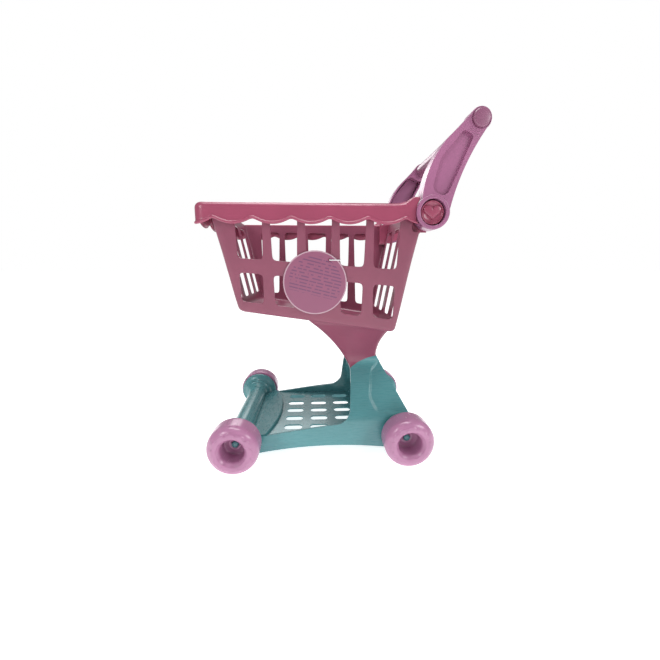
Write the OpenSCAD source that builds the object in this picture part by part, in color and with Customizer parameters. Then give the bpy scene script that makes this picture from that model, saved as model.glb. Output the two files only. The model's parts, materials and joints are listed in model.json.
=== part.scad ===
// Child's push-along shopping cart of moulded plastic: a windowed basket with a scalloped rim on a
// waisted neck, a slotted tray between two side panels, four fat wheels on snap pins, and a handle
// that folds back about two heart-capped pivots. Front is -Y, the handle is at +Y, the floor is z = 0.

/* [Basket] */
// Width of the basket across its top edge
tub_w = 245; // [200:1:300]
// Length of the basket along its top edge
tub_l = 307; // [240:1:360]
// Height of the basket's top edge above the floor
tub_top_z = 399; // [330:1:480]
// Depth of the basket at its front wall
tub_depth = 151; // [122:1:181]
// Middle of the basket's top edge, behind the origin (negative is ahead)
tub_y = -27; // [-40:1:-15]
// Lean of the front wall, from upright
front_draft = 12.3; // [9:0.1:14]
// Lean of the rear wall, from upright
rear_draft = 10.5; // [8:0.1:12]
// Lean of the side walls, from upright
side_draft = 5; // [2:0.1:8]
// Fall of the basket's bottom towards the rear
bottom_fall = 8.4; // [4:0.1:11]
// Thickness of the moulded walls
wall = 2.6; // [1.8:0.1:3.4]

/* [Windows] */
// Windows along each side wall
side_windows = 5; // [3:1:6]
// Windows across the front and the rear wall
end_windows = 4; // [2:1:5]
// Width of the rib between two windows, at the top edge
rib_w = 10; // [7:0.5:14]
// Widening of the ribs towards the bottom, as an angle on each side
rib_flare = 1.7; // [0:0.1:2.5]
// Plain margin at both ends of a side wall's windows, at the top edge
side_margin = 35.5; // [28:0.5:42]
// Plain margin at both ends of an end wall's windows, at the top edge
end_margin = 22; // [18:1:30]
// Radius of a window's corners
window_r = 6; // [2:0.5:8]
// Height of the band between the two rows of windows
band_h = 22.5; // [14:0.5:30]
// Height of the middle of that band above the basket's bottom
band_up = 76.5; // [68:0.5:84]
// Height of the plain strip under the lower row
sill_h = 18; // [14:0.5:22]
// Height of the plain strip above the upper row
head_h = 14; // [8:1:20]

/* [Rim] */
// Overhang of the rim beyond the side walls' top edge
rim_side_over = 7.5; // [5:0.5:12]
// Overhang of the rim beyond the front wall's top edge
rim_front_over = 18; // [14:0.5:24]
// Overhang of the rim beyond the rear wall's top edge
rim_rear_over = 4; // [3:0.5:6]
// Height of the skirt at the cusps between its scallops
skirt_h = 21; // [14:0.5:28]
// Drop of a scallop below the cusps
scallop_drop = 9; // [4:0.5:12]
// Whole scallops along each side
side_scallops = 5; // [3:1:8]
// Whole scallops across the front
front_scallops = 4; // [2:1:7]
// Stretch of skirt between a front corner and the first cusp
scallop_end = 27.5; // [21:0.5:33]
// Radius of the skirt's front corners
rim_corner_r = 14; // [8:1:15]
// Rise of the rim into an ear in front of the handle's ring
ear_rise = 8; // [4:0.5:12]

/* [Neck] */
// Half width of the cart at its waist, where the neck meets the base
waist_half_w = 50; // [42:1:60]
// Height of the waist's front edge
waist_z = 140; // [122:1:150]
// Place of the waist's front edge
waist_front_y = 28; // [18:1:34]
// Place of the waist's rear edge
waist_rear_y = 74; // [66:1:80]
// Rise of the joint line from the waist's front edge to its rear edge
waist_rise = 21; // [12:1:26]
// Place where the neck's front edge meets the basket's bottom
neck_front_y = -44; // [-70:1:-20]
// Inset of the neck from the side walls, where it meets the basket's bottom
neck_inset = 3; // [1:0.5:6]
// Length of the spigot that joins the base to the neck
spigot_l = 22; // [14:1:26]
// Clearance round the spigot
spigot_clear = 0.3; // [0.15:0.05:0.6]

/* [Base] */
// Half width of the base at the floor
foot_half_w = 104; // [96:1:106]
// Half width of the base at the knee, where the side panels turn in
knee_half_w = 100; // [90:1:103]
// Height of that knee
knee_z = 62; // [56:1:70]
// Height of the rails at the front axle
rail_front_z = 34; // [30:1:38]
// Height of the rails where they turn up into the post
rail_rear_z = 55; // [51:1:60]
// Radius of the turn from the rail up into the post
rail_fillet_r = 25; // [12:1:30]
// Height of the arch under the side panels
arch_z = 22; // [16:1:27]
// Thickness of the side panels
panel_t = 4; // [3:0.5:6]
// Depth of the recess moulded into each side panel
recess_d = 2; // [1:0.5:2.5]
// Height of the tray's floor
tray_z = 39; // [37:0.5:42]
// Height of the front deck where it steps down to the tray's floor
deck_z = 46; // [43:0.5:48]
// Middle of that step, which bows towards the rear
deck_end_y = -98; // [-104:1:-94]
// Radius of the step's bow
deck_end_r = 285; // [200:5:500]

/* [Tray slots] */
// Columns of slots along the tray
slot_columns = 3; // [1:1:3]
// Rows of slots across the tray
slot_rows = 5; // [1:2:5]
// Length of a slot
slot_l = 31; // [20:1:36]
// Width of a slot
slot_w = 16; // [12:0.5:20]
// Distance between rows of slots
slot_row_pitch = 34.5; // [28:0.5:38]
// Distance between columns of slots
slot_column_pitch = 45.5; // [41:0.5:48]
// Middle of the middle column
slot_middle_y = -27; // [-30:1:-22]

/* [Wheels] */
// Radius of a wheel
wheel_r = 40; // [33:1:48]
// Width of a wheel
wheel_w = 38; // [32:1:46]
// Rounding of a wheel's outer edge
wheel_round = 13; // [6:1:14]
// Radius of the deep recess in a wheel's face
hub_r = 18.4; // [14:0.2:20]
// Thickness of the wheel's web, from its inner face
web_t = 5; // [3:0.5:7]
// Gap between the wheel's inner face and the web
web_in = 5; // [3:0.5:8]
// Front axle's distance ahead of the origin
front_axle_y = 160; // [152:1:190]
// Rear axle's distance behind the origin
rear_axle_y = 115; // [110:1:138]
// Outer face of a front wheel, from the middle of the cart
front_wheel_x = 152; // [148:1:180]
// Outer face of a rear wheel, from the middle of the cart
rear_wheel_x = 144; // [142:1:172]
// Radius of the axle tubes
tube_r = 17.5; // [14:0.5:20]
// Inset of the cups that face the wheels from the wheels' edge
cup_in = 3; // [2:0.5:6]
// Radius of the wheel pins
pin_r = 4; // [3:0.25:5]
// Radial clearance of what turns on a pin or a boss
run_clear = 0.05; // [0.02:0.01:0.1]
// Gap between faces that pass each other
face_gap = 1.5; // [1:0.25:2.5]

/* [Handle] */
// Handle's pivot behind the basket's rear top edge
pivot_back = 6; // [4.5:0.5:8]
// Handle's pivot below the basket's top edge
pivot_down = 10.5; // [8:0.5:12.5]
// Distance from the pivot to the middle of the grip
handle_l = 132.5; // [108:0.5:160]
// Angle of the handle above the horizontal
handle_angle = 64.3; // [56:0.1:72]
// Radius of the grip bar
grip_r = 12.5; // [10:0.25:13]
// Radius of the arms' ends round the grip
arm_end_r = 14.6; // [12:0.1:16]
// Thickness of the arms
arm_t = 24; // [18:1:28]
// Outer radius of the ring at the foot of an arm
ring_r = 23.4; // [21:0.2:26]
// Radius of the bore in that ring
ring_bore_r = 18; // [14:0.25:19]
// Depth of the pocket in an arm's outer face
pocket_d = 5; // [2:0.5:8]
// Distance that the arms stand out beyond the rim's skirt
arm_proud = 4; // [2:0.5:6]
// Distance that a grip cap stands out beyond its arm
grip_cap_proud = 5; // [2:0.5:8]
// Gap between a heart cap and the ring round it
heart_cap_gap = 1.6; // [0.8:0.1:3]
// Width of the raised heart
heart_w = 25; // [14:1:27]

/* [Hang tag] */
// Radius of the round hang tag
tag_r = 47; // [35:1:52]
// Thickness of the hang tag
tag_t = 1; // [0.6:0.1:1.4]
// Thickness of the tie that the tag hangs on
tie_d = 1.4; // [1:0.1:2]
// Height of the tie above the middle of the band between the windows
tie_up = 17; // [16:1:30]
// Lean of the tag towards the front, from hanging straight down
tag_lean = 33; // [24:1:60]

/* [Hidden] */
$fn = 64;

rose = "#c0607f";
mauve = "#bb6f9c";
lilac = "#c583b4";
teal = "#5f9fa0";
paper = "#c4688c";

// Overshoot of a cutter past the face that it cuts
over = 1;
// Far enough to pass through the whole cart
through = 700;
// Straight steps that stand for a bowed edge and for a rounded corner
bow_steps = 12;
corner_steps = 5;
// Facets of the few large circles
large_fn = 128;

// ---- places on the basket
tub_half_w = tub_w / 2;
tub_front_y = tub_y - tub_l / 2;
tub_rear_y = tub_y + tub_l / 2;
fall = tan(bottom_fall);
rear_lean = tan(rear_draft);
function tub_front(z) = tub_front_y + (tub_top_z - z) * tan(front_draft);
function tub_rear(z) = tub_rear_y - (tub_top_z - z) * rear_lean;
function tub_side(z) = tub_half_w - (tub_top_z - z) * tan(side_draft);
tub_toe = [tub_front(tub_top_z - tub_depth), tub_top_z - tub_depth];
function tub_bottom(y) = tub_toe.y - (y - tub_toe.x) * fall;
heel_z = (tub_bottom(tub_rear_y) + fall * rear_lean * tub_top_z) / (1 + fall * rear_lean);
tub_heel = [tub_rear(heel_z), heel_z];
toe_r = 10;
heel_r = 6;
tub_mid_h = tub_top_z - tub_bottom(tub_y);

// ---- places of the windows: their rows fan out from level at the top to the bottom's own fall
window_low = tub_bottom(tub_y) + sill_h;
band_low = tub_bottom(tub_y) + band_up - band_h / 2;
band_high = band_low + band_h;
window_high = tub_top_z - head_h;
side_pitch = (tub_l - 2 * side_margin + rib_w) / side_windows;
end_pitch = (tub_w - 2 * end_margin + rib_w) / end_windows;
function row_z(level, y) = level - (y - tub_y) * fall * (tub_top_z - level) / tub_mid_h;
function window_half(pitch, z) = (pitch - rib_w) / 2 - (tub_top_z - z) * tan(rib_flare);

// ---- places on the rim and the handle
rim_top_z = tub_top_z + wall;
rim_half_w = tub_half_w + rim_side_over;
rim_front_y = tub_front_y - rim_front_over;
rim_rear_y = tub_rear_y + rim_rear_over;
pivot_y = tub_rear_y + pivot_back;
pivot_z = tub_top_z - pivot_down;
arm_out_x = rim_half_w + arm_proud;
arm_in_x = arm_out_x - arm_t;
boss_r = ring_bore_r - run_clear;
heart_cap_r = ring_bore_r - heart_cap_gap;
heart_cap_t = 8;
heart_cap_in = 4;
heart_rise = 1.5;
heart_down = 1;
boss_end_x = arm_out_x - heart_cap_in - heart_cap_t;
cap_stem_r = 8;
cap_stem_l = 8;
spigot_r = 8;
grip_cap_r = grip_r - 0.5;
grip_cap_round = 0.6 * grip_cap_proud;

// ---- the corner pockets of the rim, which hold the rings clear of the basket
ear_out_x = arm_in_x - face_gap;
ear_in_x = ear_out_x - wall;
pocket_y = pivot_y - ring_r - face_gap;
pocket_z = pivot_z - ring_r - face_gap;
ear_r = ring_r - 3;
ear_front_y = pocket_y - 24;
ear_lean_l = 26;
ear_rear_y = ear_front_y + ear_lean_l + 6;

// ---- the skirt's scallops
cusp_z = rim_top_z - skirt_h;
ear_low_z = cusp_z - scallop_drop / 2;
side_cusp_first = rim_front_y + scallop_end;
side_cusp_last = pocket_y - 12;

// ---- places on the neck, each edge bowed by its own sag
waist_rear_z = waist_z + waist_rise;
waist_low = [waist_half_w, waist_z + 6];
waist_high = [waist_half_w, waist_z + 16];
neck_top_z = tub_bottom(tub_y);
neck_top_half_w = tub_side(neck_top_z) - neck_inset;
neck_flank_sag = 4;
neck_front_sag = 6.3;
neck_rear_sag = 5;
neck_front_slant = 1.5;
neck_rear_slant = 1.2;
neck_heel_in = 4;
joint_sag = 4.4;
flank_wall = 1.4 * wall;

// ---- places on the base
base_flank_sag = 6.5;
axle_z = wheel_r;
rear_edge_z = 70;
rear_edge_y = rear_axle_y + 10;
foot_front = [2 - front_axle_y, 5];
foot_rear = [rear_axle_y - 10, 8];
heel_rear = [rear_edge_y + 6, 20];
arch_rear = [rear_edge_y - 40, arch_z - 6];
arch_sag = arch_z - 12;
rail_end = [waist_front_y - 63, rail_rear_z - 3];
post_foot = [waist_front_y - 5, rail_rear_z + 4];
deck_slope = (deck_z - rail_front_z) / (front_axle_y + deck_end_y);
deck_reach = 40;
tray_end_y = waist_front_y + 30;
post_bend = [waist_front_y + 14, waist_z - 22];
post_front_sag = 3;
spigot_front_y = waist_front_y + 2.5 * wall + spigot_clear;
spigot_rear_y = waist_rear_y - 2 * wall - spigot_clear;
spigot_half_w = waist_half_w - max(flank_wall, panel_t) - spigot_clear;
curb_w = 1.5;
curb_h = 1;
curb_clear = 0.5;
tray_lean = (foot_half_w - knee_half_w) / knee_z;
curb_in_x = foot_half_w - tray_lean * (tray_z + 2 * curb_h) - panel_t - curb_w;

// ---- outline of the recess in a side panel, from its upper rear corner round its front
recess_top = [waist_rear_y + 3, waist_rear_z - 9];
recess_brow = [waist_front_y + 34, waist_z - 4];
recess_front = [waist_front_y + 29, waist_z - 42];
recess_low = [waist_front_y + 41, 74];
recess_sill = [rear_edge_y - 14, 72];
recess_r = 16;

// ---- places on the wheels, along the axle from a wheel's inner face
front_cup_x = front_wheel_x - wheel_w - face_gap;
rear_cup_x = rear_wheel_x - wheel_w - face_gap;
cup_plate_t = 3;
cup_rim_t = 4;
flare_l = 26;
pin_boss_r = 9;
pin_boss_l = 22;
pin_head_r = 5.6;
pin_head_h = 3.4;
head_gap = 0.3;
dome_step = 90 / corner_steps;
cup_r = wheel_r - cup_in;
cup_in_r = cup_r - wall - 1;
flare_sag = 5;
wheel_inner_r = 2.5;
hub_lip_r = 4;
hub_floor_r = 1;
tread_r = min(wheel_round, wheel_r - hub_r - hub_lip_r - over);

// ---- outline of an arm along its own length, from the pivot
blade_foot = 8;
blade_rear_foot = 10;
blade_front_h = ring_r - 1.5;
blade_rear_h = 20;
blade_tip_h = arm_end_r - 0.5;
blade_bend = handle_l - 24;
blade_bend_h = 22;
blade_front_sag = 10.6;
blade_rear_sag = 6.5;
pocket_foot = ring_r + 1;
pocket_tip = handle_l - 22;
pocket_fronts = [16, 25, 13.5];
pocket_rears = [-7, -5, -2];
pocket_foot_r = 10;
pocket_bend_r = 40;
pocket_tip_r = 5;

// ---- places on the hang tag, seen from the hook where its hole turns on the tie
tie_r = tie_d / 2;
tag_hole_r = 2.4;
tag_hole_in = 7.3;
tie_clear = 0.5;
tie_z = tub_bottom(tub_y) + band_up + tie_up;
tie_rib_y = tub_y + (side_windows % 2 == 1 ? side_pitch / 2 : 0);
tie_half = side_pitch / 2 - window_half(side_pitch, tie_z) + tie_r + tie_clear;
hook_y = tie_rib_y - tie_half;
tag_gap = 1.5;
tie_out_x = tag_gap + tag_t + tie_r + tie_clear;
tie_in_x = wall + tie_r + tie_clear;

// ---- outlines

function unit(v) = v / norm(v);

// Points on a shallow arc from p to q that bulges by sag to the left of the way from p to q
function bow(p, q, sag) = let (
    half = norm(q - p) / 2,
    r = (half * half + sag * sag) / (2 * abs(sag)),
    turn = 2 * asin(half / r) * sign(sag),
    along = unit(q - p),
    left = [-along.y, along.x],
    centre = (p + q) / 2 + left * (sag - sign(sag) * r),
    first = atan2(p.y - centre.y, p.x - centre.x)
) [for (i = [0 : bow_steps]) let (a = first - turn * i / bow_steps) centre + r * [cos(a), sin(a)]];

// Points that round the corner b between a and c
function corner(a, b, c, r) = let (
    u = unit(a - b),
    v = unit(c - b),
    half = acos(u * v) / 2,
    centre = b + unit(u + v) * r / sin(half),
    p = b + u * r / tan(half) - centre,
    q = b + v * r / tan(half) - centre,
    first = atan2(p.y, p.x),
    turn = (atan2(q.y, q.x) - first + 540) % 360 - 180
) r == 0 ? [b] : [for (i = [0 : corner_steps])
    centre + r * [cos(first + turn * i / corner_steps), sin(first + turn * i / corner_steps)]];

// The polygon through points, with each corner rounded by its own radius
function rounded(points, radii) = let (n = len(points))
    [for (i = [0 : n - 1]) each corner(points[(i + n - 1) % n], points[i], points[(i + 1) % n], radii[i])];

// Side-view outlines hold [y, z] and are extruded along X
module along_x(w = through) {
    rotate([90, 0, 90]) linear_extrude(w, center = true) children();
}

// Front-view outlines hold [x, z] and are extruded along Y
module along_y(l = through) {
    rotate([90, 0, 0]) linear_extrude(l, center = true) children();
}

// A solid of revolution about the X axis, from an outline that holds [radius, x]
module about_x() {
    rotate([90, 0, 90]) rotate_extrude() children();
}

// The half of space on the right, x > from
module right_half(from = 0) {
    translate([from, -through / 2, -through / 2]) cube(through);
}

module left() {
    mirror([1, 0, 0]) children();
}

// ---- basket

module tub_side_view(t = 0, up = 0) {
    polygon(rounded([
        [tub_front(tub_top_z + up) + t, tub_top_z + up],
        [tub_toe.x + t, tub_toe.y + t],
        [tub_heel.x - t, tub_heel.y + t],
        [tub_rear(tub_top_z + up) - t, tub_top_z + up]
    ], [0, toe_r - t, heel_r - t, 0]));
}

module tub_front_view(t = 0, up = 0) {
    top = tub_top_z + up;
    low = tub_heel.y - over;
    polygon([
        [-tub_side(top) + t, top], [-tub_side(low) + t, low],
        [tub_side(low) - t, low], [tub_side(top) - t, top]
    ]);
}

module tub_block(t = 0, up = 0) {
    intersection() {
        along_x() tub_side_view(t, up);
        along_y() tub_front_view(t, up);
    }
}

// A window between two levels, in a wall seen from the side; rows fan by y_at
function window(middle, pitch, low, high, fan) = let (
    a = window_half(pitch, high),
    b = window_half(pitch, low)
) rounded([
    [middle - a, fan ? row_z(high, middle - a) : high],
    [middle - b, fan ? row_z(low, middle - b) : low],
    [middle + b, fan ? row_z(low, middle + b) : low],
    [middle + a, fan ? row_z(high, middle + a) : high]
], [window_r, window_r, window_r, window_r]);

module side_window_cuts() {
    for (i = [0 : side_windows - 1]) {
        y = tub_y + (i - (side_windows - 1) / 2) * side_pitch;
        along_x() {
            polygon(window(y, side_pitch, band_high, window_high, true));
            polygon(window(y, side_pitch, window_low, band_low, true));
        }
    }
}

// The windows of one end wall, whose rows lie level with the side windows' rows at that wall
module end_window_cuts(y, towards) {
    reach = tub_l / 3;
    translate([0, y + towards * reach / 4, 0])
        for (i = [0 : end_windows - 1]) {
            x = (i - (end_windows - 1) / 2) * end_pitch;
            along_y(reach) {
                polygon(window(x, end_pitch, row_z(band_high, y), window_high, false));
                polygon(window(x, end_pitch, row_z(window_low, y), row_z(band_low, y), false));
            }
        }
}

module pocket_space(t = 0) {
    translate([ear_out_x - t, pocket_y - t, pocket_z - t]) cube(through);
}

module basket_tub() {
    color(mauve) difference() {
        tub_block();
        tub_block(wall, over);
        side_window_cuts();
        end_window_cuts(tub_front_y, -1);
        end_window_cuts(tub_rear_y, 1);
        pocket_space(wall);
        left() pocket_space(wall);
    }
}

// ---- rim

// Skirt seen square on: a band with scallops hanging below the cusps, one extra beyond each end
module scalloped(first, last, count) {
    w = (last - first) / count;
    r = w * w / (8 * scallop_drop) + scallop_drop / 2;
    translate([first - w, cusp_z]) square([last - first + 2 * w, skirt_h]);
    for (i = [-1 : count])
        intersection() {
            translate([first + (i + 0.5) * w, cusp_z - scallop_drop + r]) circle(r);
            translate([first + i * w, cusp_z - scallop_drop]) square([w, skirt_h]);
        }
}

module rim_plan(t = 0) {
    w = rim_half_w - t;
    r = rim_corner_r - t;
    translate([-w, rim_front_y + t + r]) square([2 * w, pocket_y + over - rim_front_y - t - r]);
    translate([-w + r, rim_front_y + t]) square([2 * (w - r), r]);
    for (s = [-1, 1]) translate([s * (w - r), rim_front_y + t + r]) circle(r);
}

module skirt_band() {
    low = cusp_z - scallop_drop;
    translate([0, 0, low]) linear_extrude(rim_top_z - low) difference() {
        rim_plan();
        rim_plan(wall);
        translate([-rim_half_w + wall, pocket_y - over]) square([2 * (rim_half_w - wall), 3 * over]);
    }
}

module rim_skirt() {
    split_y = rim_front_y + rim_corner_r;
    intersection() {
        skirt_band();
        translate([-through / 2, split_y, 0]) cube(through);
        along_x() scalloped(side_cusp_first, side_cusp_last, side_scallops);
    }
    intersection() {
        skirt_band();
        translate([-through / 2, split_y - through, 0]) cube(through);
        along_y() scalloped(-rim_half_w + scallop_end, rim_half_w - scallop_end, front_scallops);
    }
}

module rim_top() {
    translate([0, 0, tub_top_z]) linear_extrude(wall) difference() {
        union() {
            rim_plan();
            translate([-ear_out_x, pocket_y - over]) square([2 * ear_out_x, rim_rear_y - pocket_y + over]);
        }
        translate([-tub_half_w + wall, tub_front_y + wall]) square([tub_w - 2 * wall, tub_l - 2 * wall]);
    }
    translate([-ear_out_x, rim_rear_y - wall, cusp_z]) cube([2 * ear_out_x, wall, skirt_h - wall]);
}

// The rise of the rim in front of the handle's ring, seen from the side
module ear_view() {
    polygon([
        [ear_front_y - wall, tub_top_z], [ear_front_y, rim_top_z],
        [ear_front_y + ear_lean_l, rim_top_z + ear_rise], [ear_rear_y, rim_top_z + ear_rise],
        [ear_rear_y, ear_low_z], [ear_front_y + scallop_drop, ear_low_z]
    ]);
}

// Walls of one rear pocket, and the plate beside the ring that carries the boss
module rim_corner() {
    intersection() {
        tub_block();
        pocket_space(wall);
    }
    translate([ear_in_x, pocket_y - wall, cusp_z])
        cube([rim_half_w - ear_in_x, wall + over, tub_top_z - cusp_z]);
    translate([ear_in_x, pocket_y - wall, pocket_z]) cube([wall, pivot_y - pocket_y, rim_top_z - pocket_z]);
    translate([ear_in_x, pivot_y, pivot_z]) about_x() square([ear_r, wall]);
}

// Ear of the skirt in front of the ring
module rim_ear() {
    intersection() {
        along_x() difference() {
            ear_view();
            translate([pivot_y, pivot_z]) circle(ring_r + face_gap);
        }
        right_half(rim_half_w - wall);
        left() right_half(-rim_half_w);
    }
}

// Boss that the ring turns on, with the socket for the heart cap's stem
module pivot_boss() {
    l = boss_end_x - ear_out_x;
    translate([ear_out_x, pivot_y, pivot_z]) about_x() difference() {
        translate([0, -over]) square([boss_r, l + over]);
        translate([0, l - cap_stem_l]) square([cap_stem_r, cap_stem_l + over]);
    }
}

module basket_rim() {
    color(rose) {
        difference() {
            union() {
                rim_skirt();
                rim_top();
                rim_corner();
                left() rim_corner();
            }
            pocket_space();
            left() pocket_space();
        }
        rim_ear();
        left() rim_ear();
        pivot_boss();
        left() pivot_boss();
    }
}

// ---- neck

// Right flank of the cart seen from the front, moved in by t: base panel, waist and neck
function flank(t) = concat(
    [[foot_half_w - t, 0]],
    bow([knee_half_w - t, knee_z], [waist_low.x - t, waist_low.y], -base_flank_sag),
    bow([waist_high.x - t, waist_high.y], [neck_top_half_w - t, neck_top_z], neck_flank_sag),
    [[neck_top_half_w - t, tub_top_z]]
);

module between_flanks(t = 0) {
    points = flank(t);
    along_y() polygon(concat(points, [for (i = [len(points) - 1 : -1 : 0]) [-points[i].x, points[i].y]]));
}

function joint_line(t = 0, drop = 0) = bow(
    [waist_front_y + t, waist_z - drop], [waist_rear_y - t, waist_rear_z - drop], joint_sag);

// Neck seen from the side; moved in by t and lengthened by more at both ends, it is the hollow
module neck_view(t = 0, more = 0) {
    polygon(concat(
        bow([neck_front_y + neck_front_slant * t, tub_bottom(neck_front_y) + more],
            [waist_front_y + t, waist_z - more], neck_front_sag),
        bow([waist_rear_y - t, waist_rear_z - more],
            [tub_heel.x - neck_heel_in - neck_rear_slant * t, tub_heel.y + more], neck_rear_sag)
    ));
}

module basket_neck() {
    color(mauve) difference() {
        intersection() {
            along_x() neck_view();
            between_flanks();
        }
        intersection() {
            along_x() neck_view(wall, over);
            between_flanks(flank_wall);
        }
        along_x() polygon(concat(joint_line(), [[waist_rear_y, 0], [waist_front_y, 0]]));
        tub_block();
    }
}

// ---- base

module axle(y, cup_x, solid = false) {
    half = concat(
        [[0, 0], [tube_r, 0]],
        bow([tube_r, cup_x - flare_l], [cup_r, cup_x - cup_rim_t], flare_sag),
        [[cup_r, cup_x], [0, cup_x]]
    );
    hollow = concat(
        [[0, -over], [tube_r - wall, -over]],
        bow([tube_r - wall, cup_x - flare_l + wall], [cup_in_r, cup_x - cup_plate_t - over], flare_sag),
        [[cup_in_r, cup_x - cup_plate_t], [pin_boss_r, cup_x - cup_plate_t],
            [pin_boss_r, cup_x - pin_boss_l], [0, cup_x - pin_boss_l]]
    );
    translate([0, y, axle_z])
        for (side = [0, 1]) mirror([side, 0, 0]) about_x() difference() {
            polygon(half);
            if (!solid) {
                polygon(hollow);
                translate([0, cup_x - pin_boss_l - over]) square([pin_r, pin_boss_l + 2 * over]);
            }
        }
}

module axle_spaces() {
    axle(-front_axle_y, front_cup_x, true);
    axle(rear_axle_y, rear_cup_x, true);
}

// Side panel seen from the side: an arched foot, a rail, and a post that carries the neck
module panel_view() {
    polygon(concat(
        bow(foot_front, arch_rear, arch_sag),
        [foot_rear, heel_rear, [rear_edge_y, rear_edge_z]],
        [for (i = [bow_steps : -1 : 0]) joint_line()[i]],
        corner([waist_front_y, waist_z], post_foot, rail_end, rail_fillet_r),
        [rail_end, [foot_front.x, rail_front_z]]
    ));
}

// Rounded recess low on the post, open towards the rear
module recess_view() {
    polygon(rounded([
        recess_top, recess_brow, recess_front, recess_low, recess_sill,
        [recess_sill.x + through, recess_low.y], [recess_sill.x + through, recess_top.y]
    ], [0, recess_r, recess_r, recess_r, 0, 0, 0]));
}

module base_side_right() {
    color(teal) difference() {
        intersection() {
            along_x() panel_view();
            between_flanks();
            right_half();
        }
        between_flanks(panel_t);
        intersection() {
            along_x() recess_view();
            difference() {
                between_flanks(-over);
                between_flanks(recess_d);
            }
        }
        axle_spaces();
    }
}

module base_side_left() {
    left() base_side_right();
}

// The tray's sunken part seen from above: all that lies behind the bowed step
module sunken(forward = 0) {
    linear_extrude(through) difference() {
        translate([-through / 2, -front_axle_y]) square([through, through]);
        translate([0, deck_end_y - deck_end_r - forward]) circle(deck_end_r, $fn = large_fn);
    }
}

module deck_view(t) {
    top = deck_z + deck_reach * deck_slope;
    polygon([
        [-front_axle_y, rail_front_z - t], [-front_axle_y, rail_front_z],
        [deck_end_y + deck_reach, top], [deck_end_y + deck_reach, top - t]
    ]);
}

module slots() {
    run = slot_l - slot_w;
    for (column = [0 : slot_columns - 1], row = [0 : slot_rows - 1])
        translate([
            (row - (slot_rows - 1) / 2) * slot_row_pitch,
            slot_middle_y + (column - (slot_columns - 1) / 2) * slot_column_pitch
        ]) {
            square([slot_w, run], center = true);
            for (s = [-1, 1]) translate([0, s * run / 2]) circle(slot_w / 2);
        }
}

// Low curb where the tray's floor meets the side panels and the post, which lean in over it
module tray_curb() {
    difference() {
        intersection() {
            translate([-through / 2, -front_axle_y, tray_z - wall])
                cube([through, front_axle_y + tray_end_y - curb_clear, wall + curb_h]);
            sunken();
        }
        translate([-curb_in_x, -through, 0]) cube([2 * curb_in_x, through + tray_end_y - curb_w, through]);
    }
}

module base_tray() {
    floor_low = tray_z - wall;
    color(teal) difference() {
        intersection() {
            union() {
                difference() {
                    along_x() deck_view(wall);
                    sunken();
                }
                intersection() {
                    along_x() difference() {
                        deck_view(deck_z);
                        translate([-through / 2, floor_low - through]) square(through);
                    }
                    difference() {
                        sunken(wall);
                        sunken();
                    }
                }
                intersection() {
                    translate([-through / 2, -front_axle_y, floor_low])
                        cube([through, front_axle_y + tray_end_y, wall]);
                    sunken(wall);
                }
                tray_curb();
            }
            between_flanks(panel_t);
        }
        linear_extrude(through) slots();
        axle_spaces();
    }
}

// Post between the side panels seen from the side; moved in by t it is the hollow
module post_view(t = 0, more = 0) {
    polygon(concat(
        [[tray_end_y + t, tray_z - wall - more]],
        bow([tray_end_y + t, tray_z], [post_bend.x + t, post_bend.y], post_front_sag),
        [[waist_front_y + t, waist_z - t]],
        joint_line(t, t),
        [[rear_edge_y - t, rear_edge_z - t], [rear_edge_y - t, tray_z - wall - more]]
    ));
}

module base_post() {
    spigot_deep = spigot_rear_y - spigot_front_y;
    color(teal) difference() {
        union() {
            intersection() {
                along_x() post_view();
                between_flanks(panel_t);
            }
            translate([-spigot_half_w, spigot_front_y, waist_z - 2 * wall])
                cube([2 * spigot_half_w, spigot_deep, waist_rise + spigot_l]);
        }
        intersection() {
            along_x() post_view(wall, over);
            between_flanks(panel_t + wall);
        }
        translate([-spigot_half_w + wall, spigot_front_y + wall, waist_z - 3 * wall])
            cube([2 * (spigot_half_w - wall), spigot_deep - 2 * wall, through]);
        axle_spaces();
    }
}

module front_axle_tube() {
    color(teal) axle(-front_axle_y, front_cup_x);
}

module rear_axle_tube() {
    color(teal) axle(rear_axle_y, rear_cup_x);
}

// ---- wheels and their pins, on the right-hand side with x measured from the wheel's inner face

module wheel(y, face_x) {
    bore_r = pin_r + run_clear;
    web_out = web_in + web_t;
    translate([face_x - wheel_w, y, axle_z]) color(lilac) about_x() polygon(rounded([
        [wheel_r, 0], [wheel_r, wheel_w], [hub_r, wheel_w], [hub_r, web_out],
        [bore_r, web_out], [bore_r, web_in], [hub_r + wall, web_in],
        [hub_r + wall, wheel_w - 2 * wall], [wheel_r - wall, wheel_w - 2 * wall], [wheel_r - wall, 0]
    ], [wheel_inner_r, tread_r, hub_lip_r, hub_floor_r, 0, 0, 0, 0, tread_r - 2 * wall, 0]));
}

module wheel_pin(y, face_x) {
    head_x = web_in + web_t + head_gap;
    end_x = -face_gap - pin_boss_l;
    translate([face_x - wheel_w, y, axle_z]) color(teal) about_x() polygon(concat(
        [[0, end_x], [pin_r, end_x], [pin_r, head_x], [pin_head_r, head_x]],
        [for (a = [dome_step : dome_step : 90]) [pin_head_r * cos(a), head_x + pin_head_h * sin(a)]]
    ));
}

// ---- handle, in a frame that starts at the pivot with its first axis towards the grip

module on_handle() {
    translate([0, pivot_y, pivot_z]) rotate([handle_angle, 0, 0]) children();
}

// Arm's blade moved in by t: bowed forwards at the front and hollow at the rear
module blade(t = 0) {
    polygon(concat(
        bow([handle_l, t - blade_tip_h], [blade_rear_foot, t - blade_rear_h], -blade_rear_sag),
        bow([blade_foot, blade_front_h - t], [blade_bend, blade_bend_h - t], blade_front_sag),
        [[handle_l, blade_tip_h - t]]
    ));
}

module arm_block() {
    translate([arm_in_x + arm_t / 2, 0, 0]) {
        along_x(arm_t) blade();
        along_x(arm_t) circle(ring_r);
        along_x(arm_t) translate([handle_l, 0]) circle(arm_end_r);
    }
}

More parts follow.
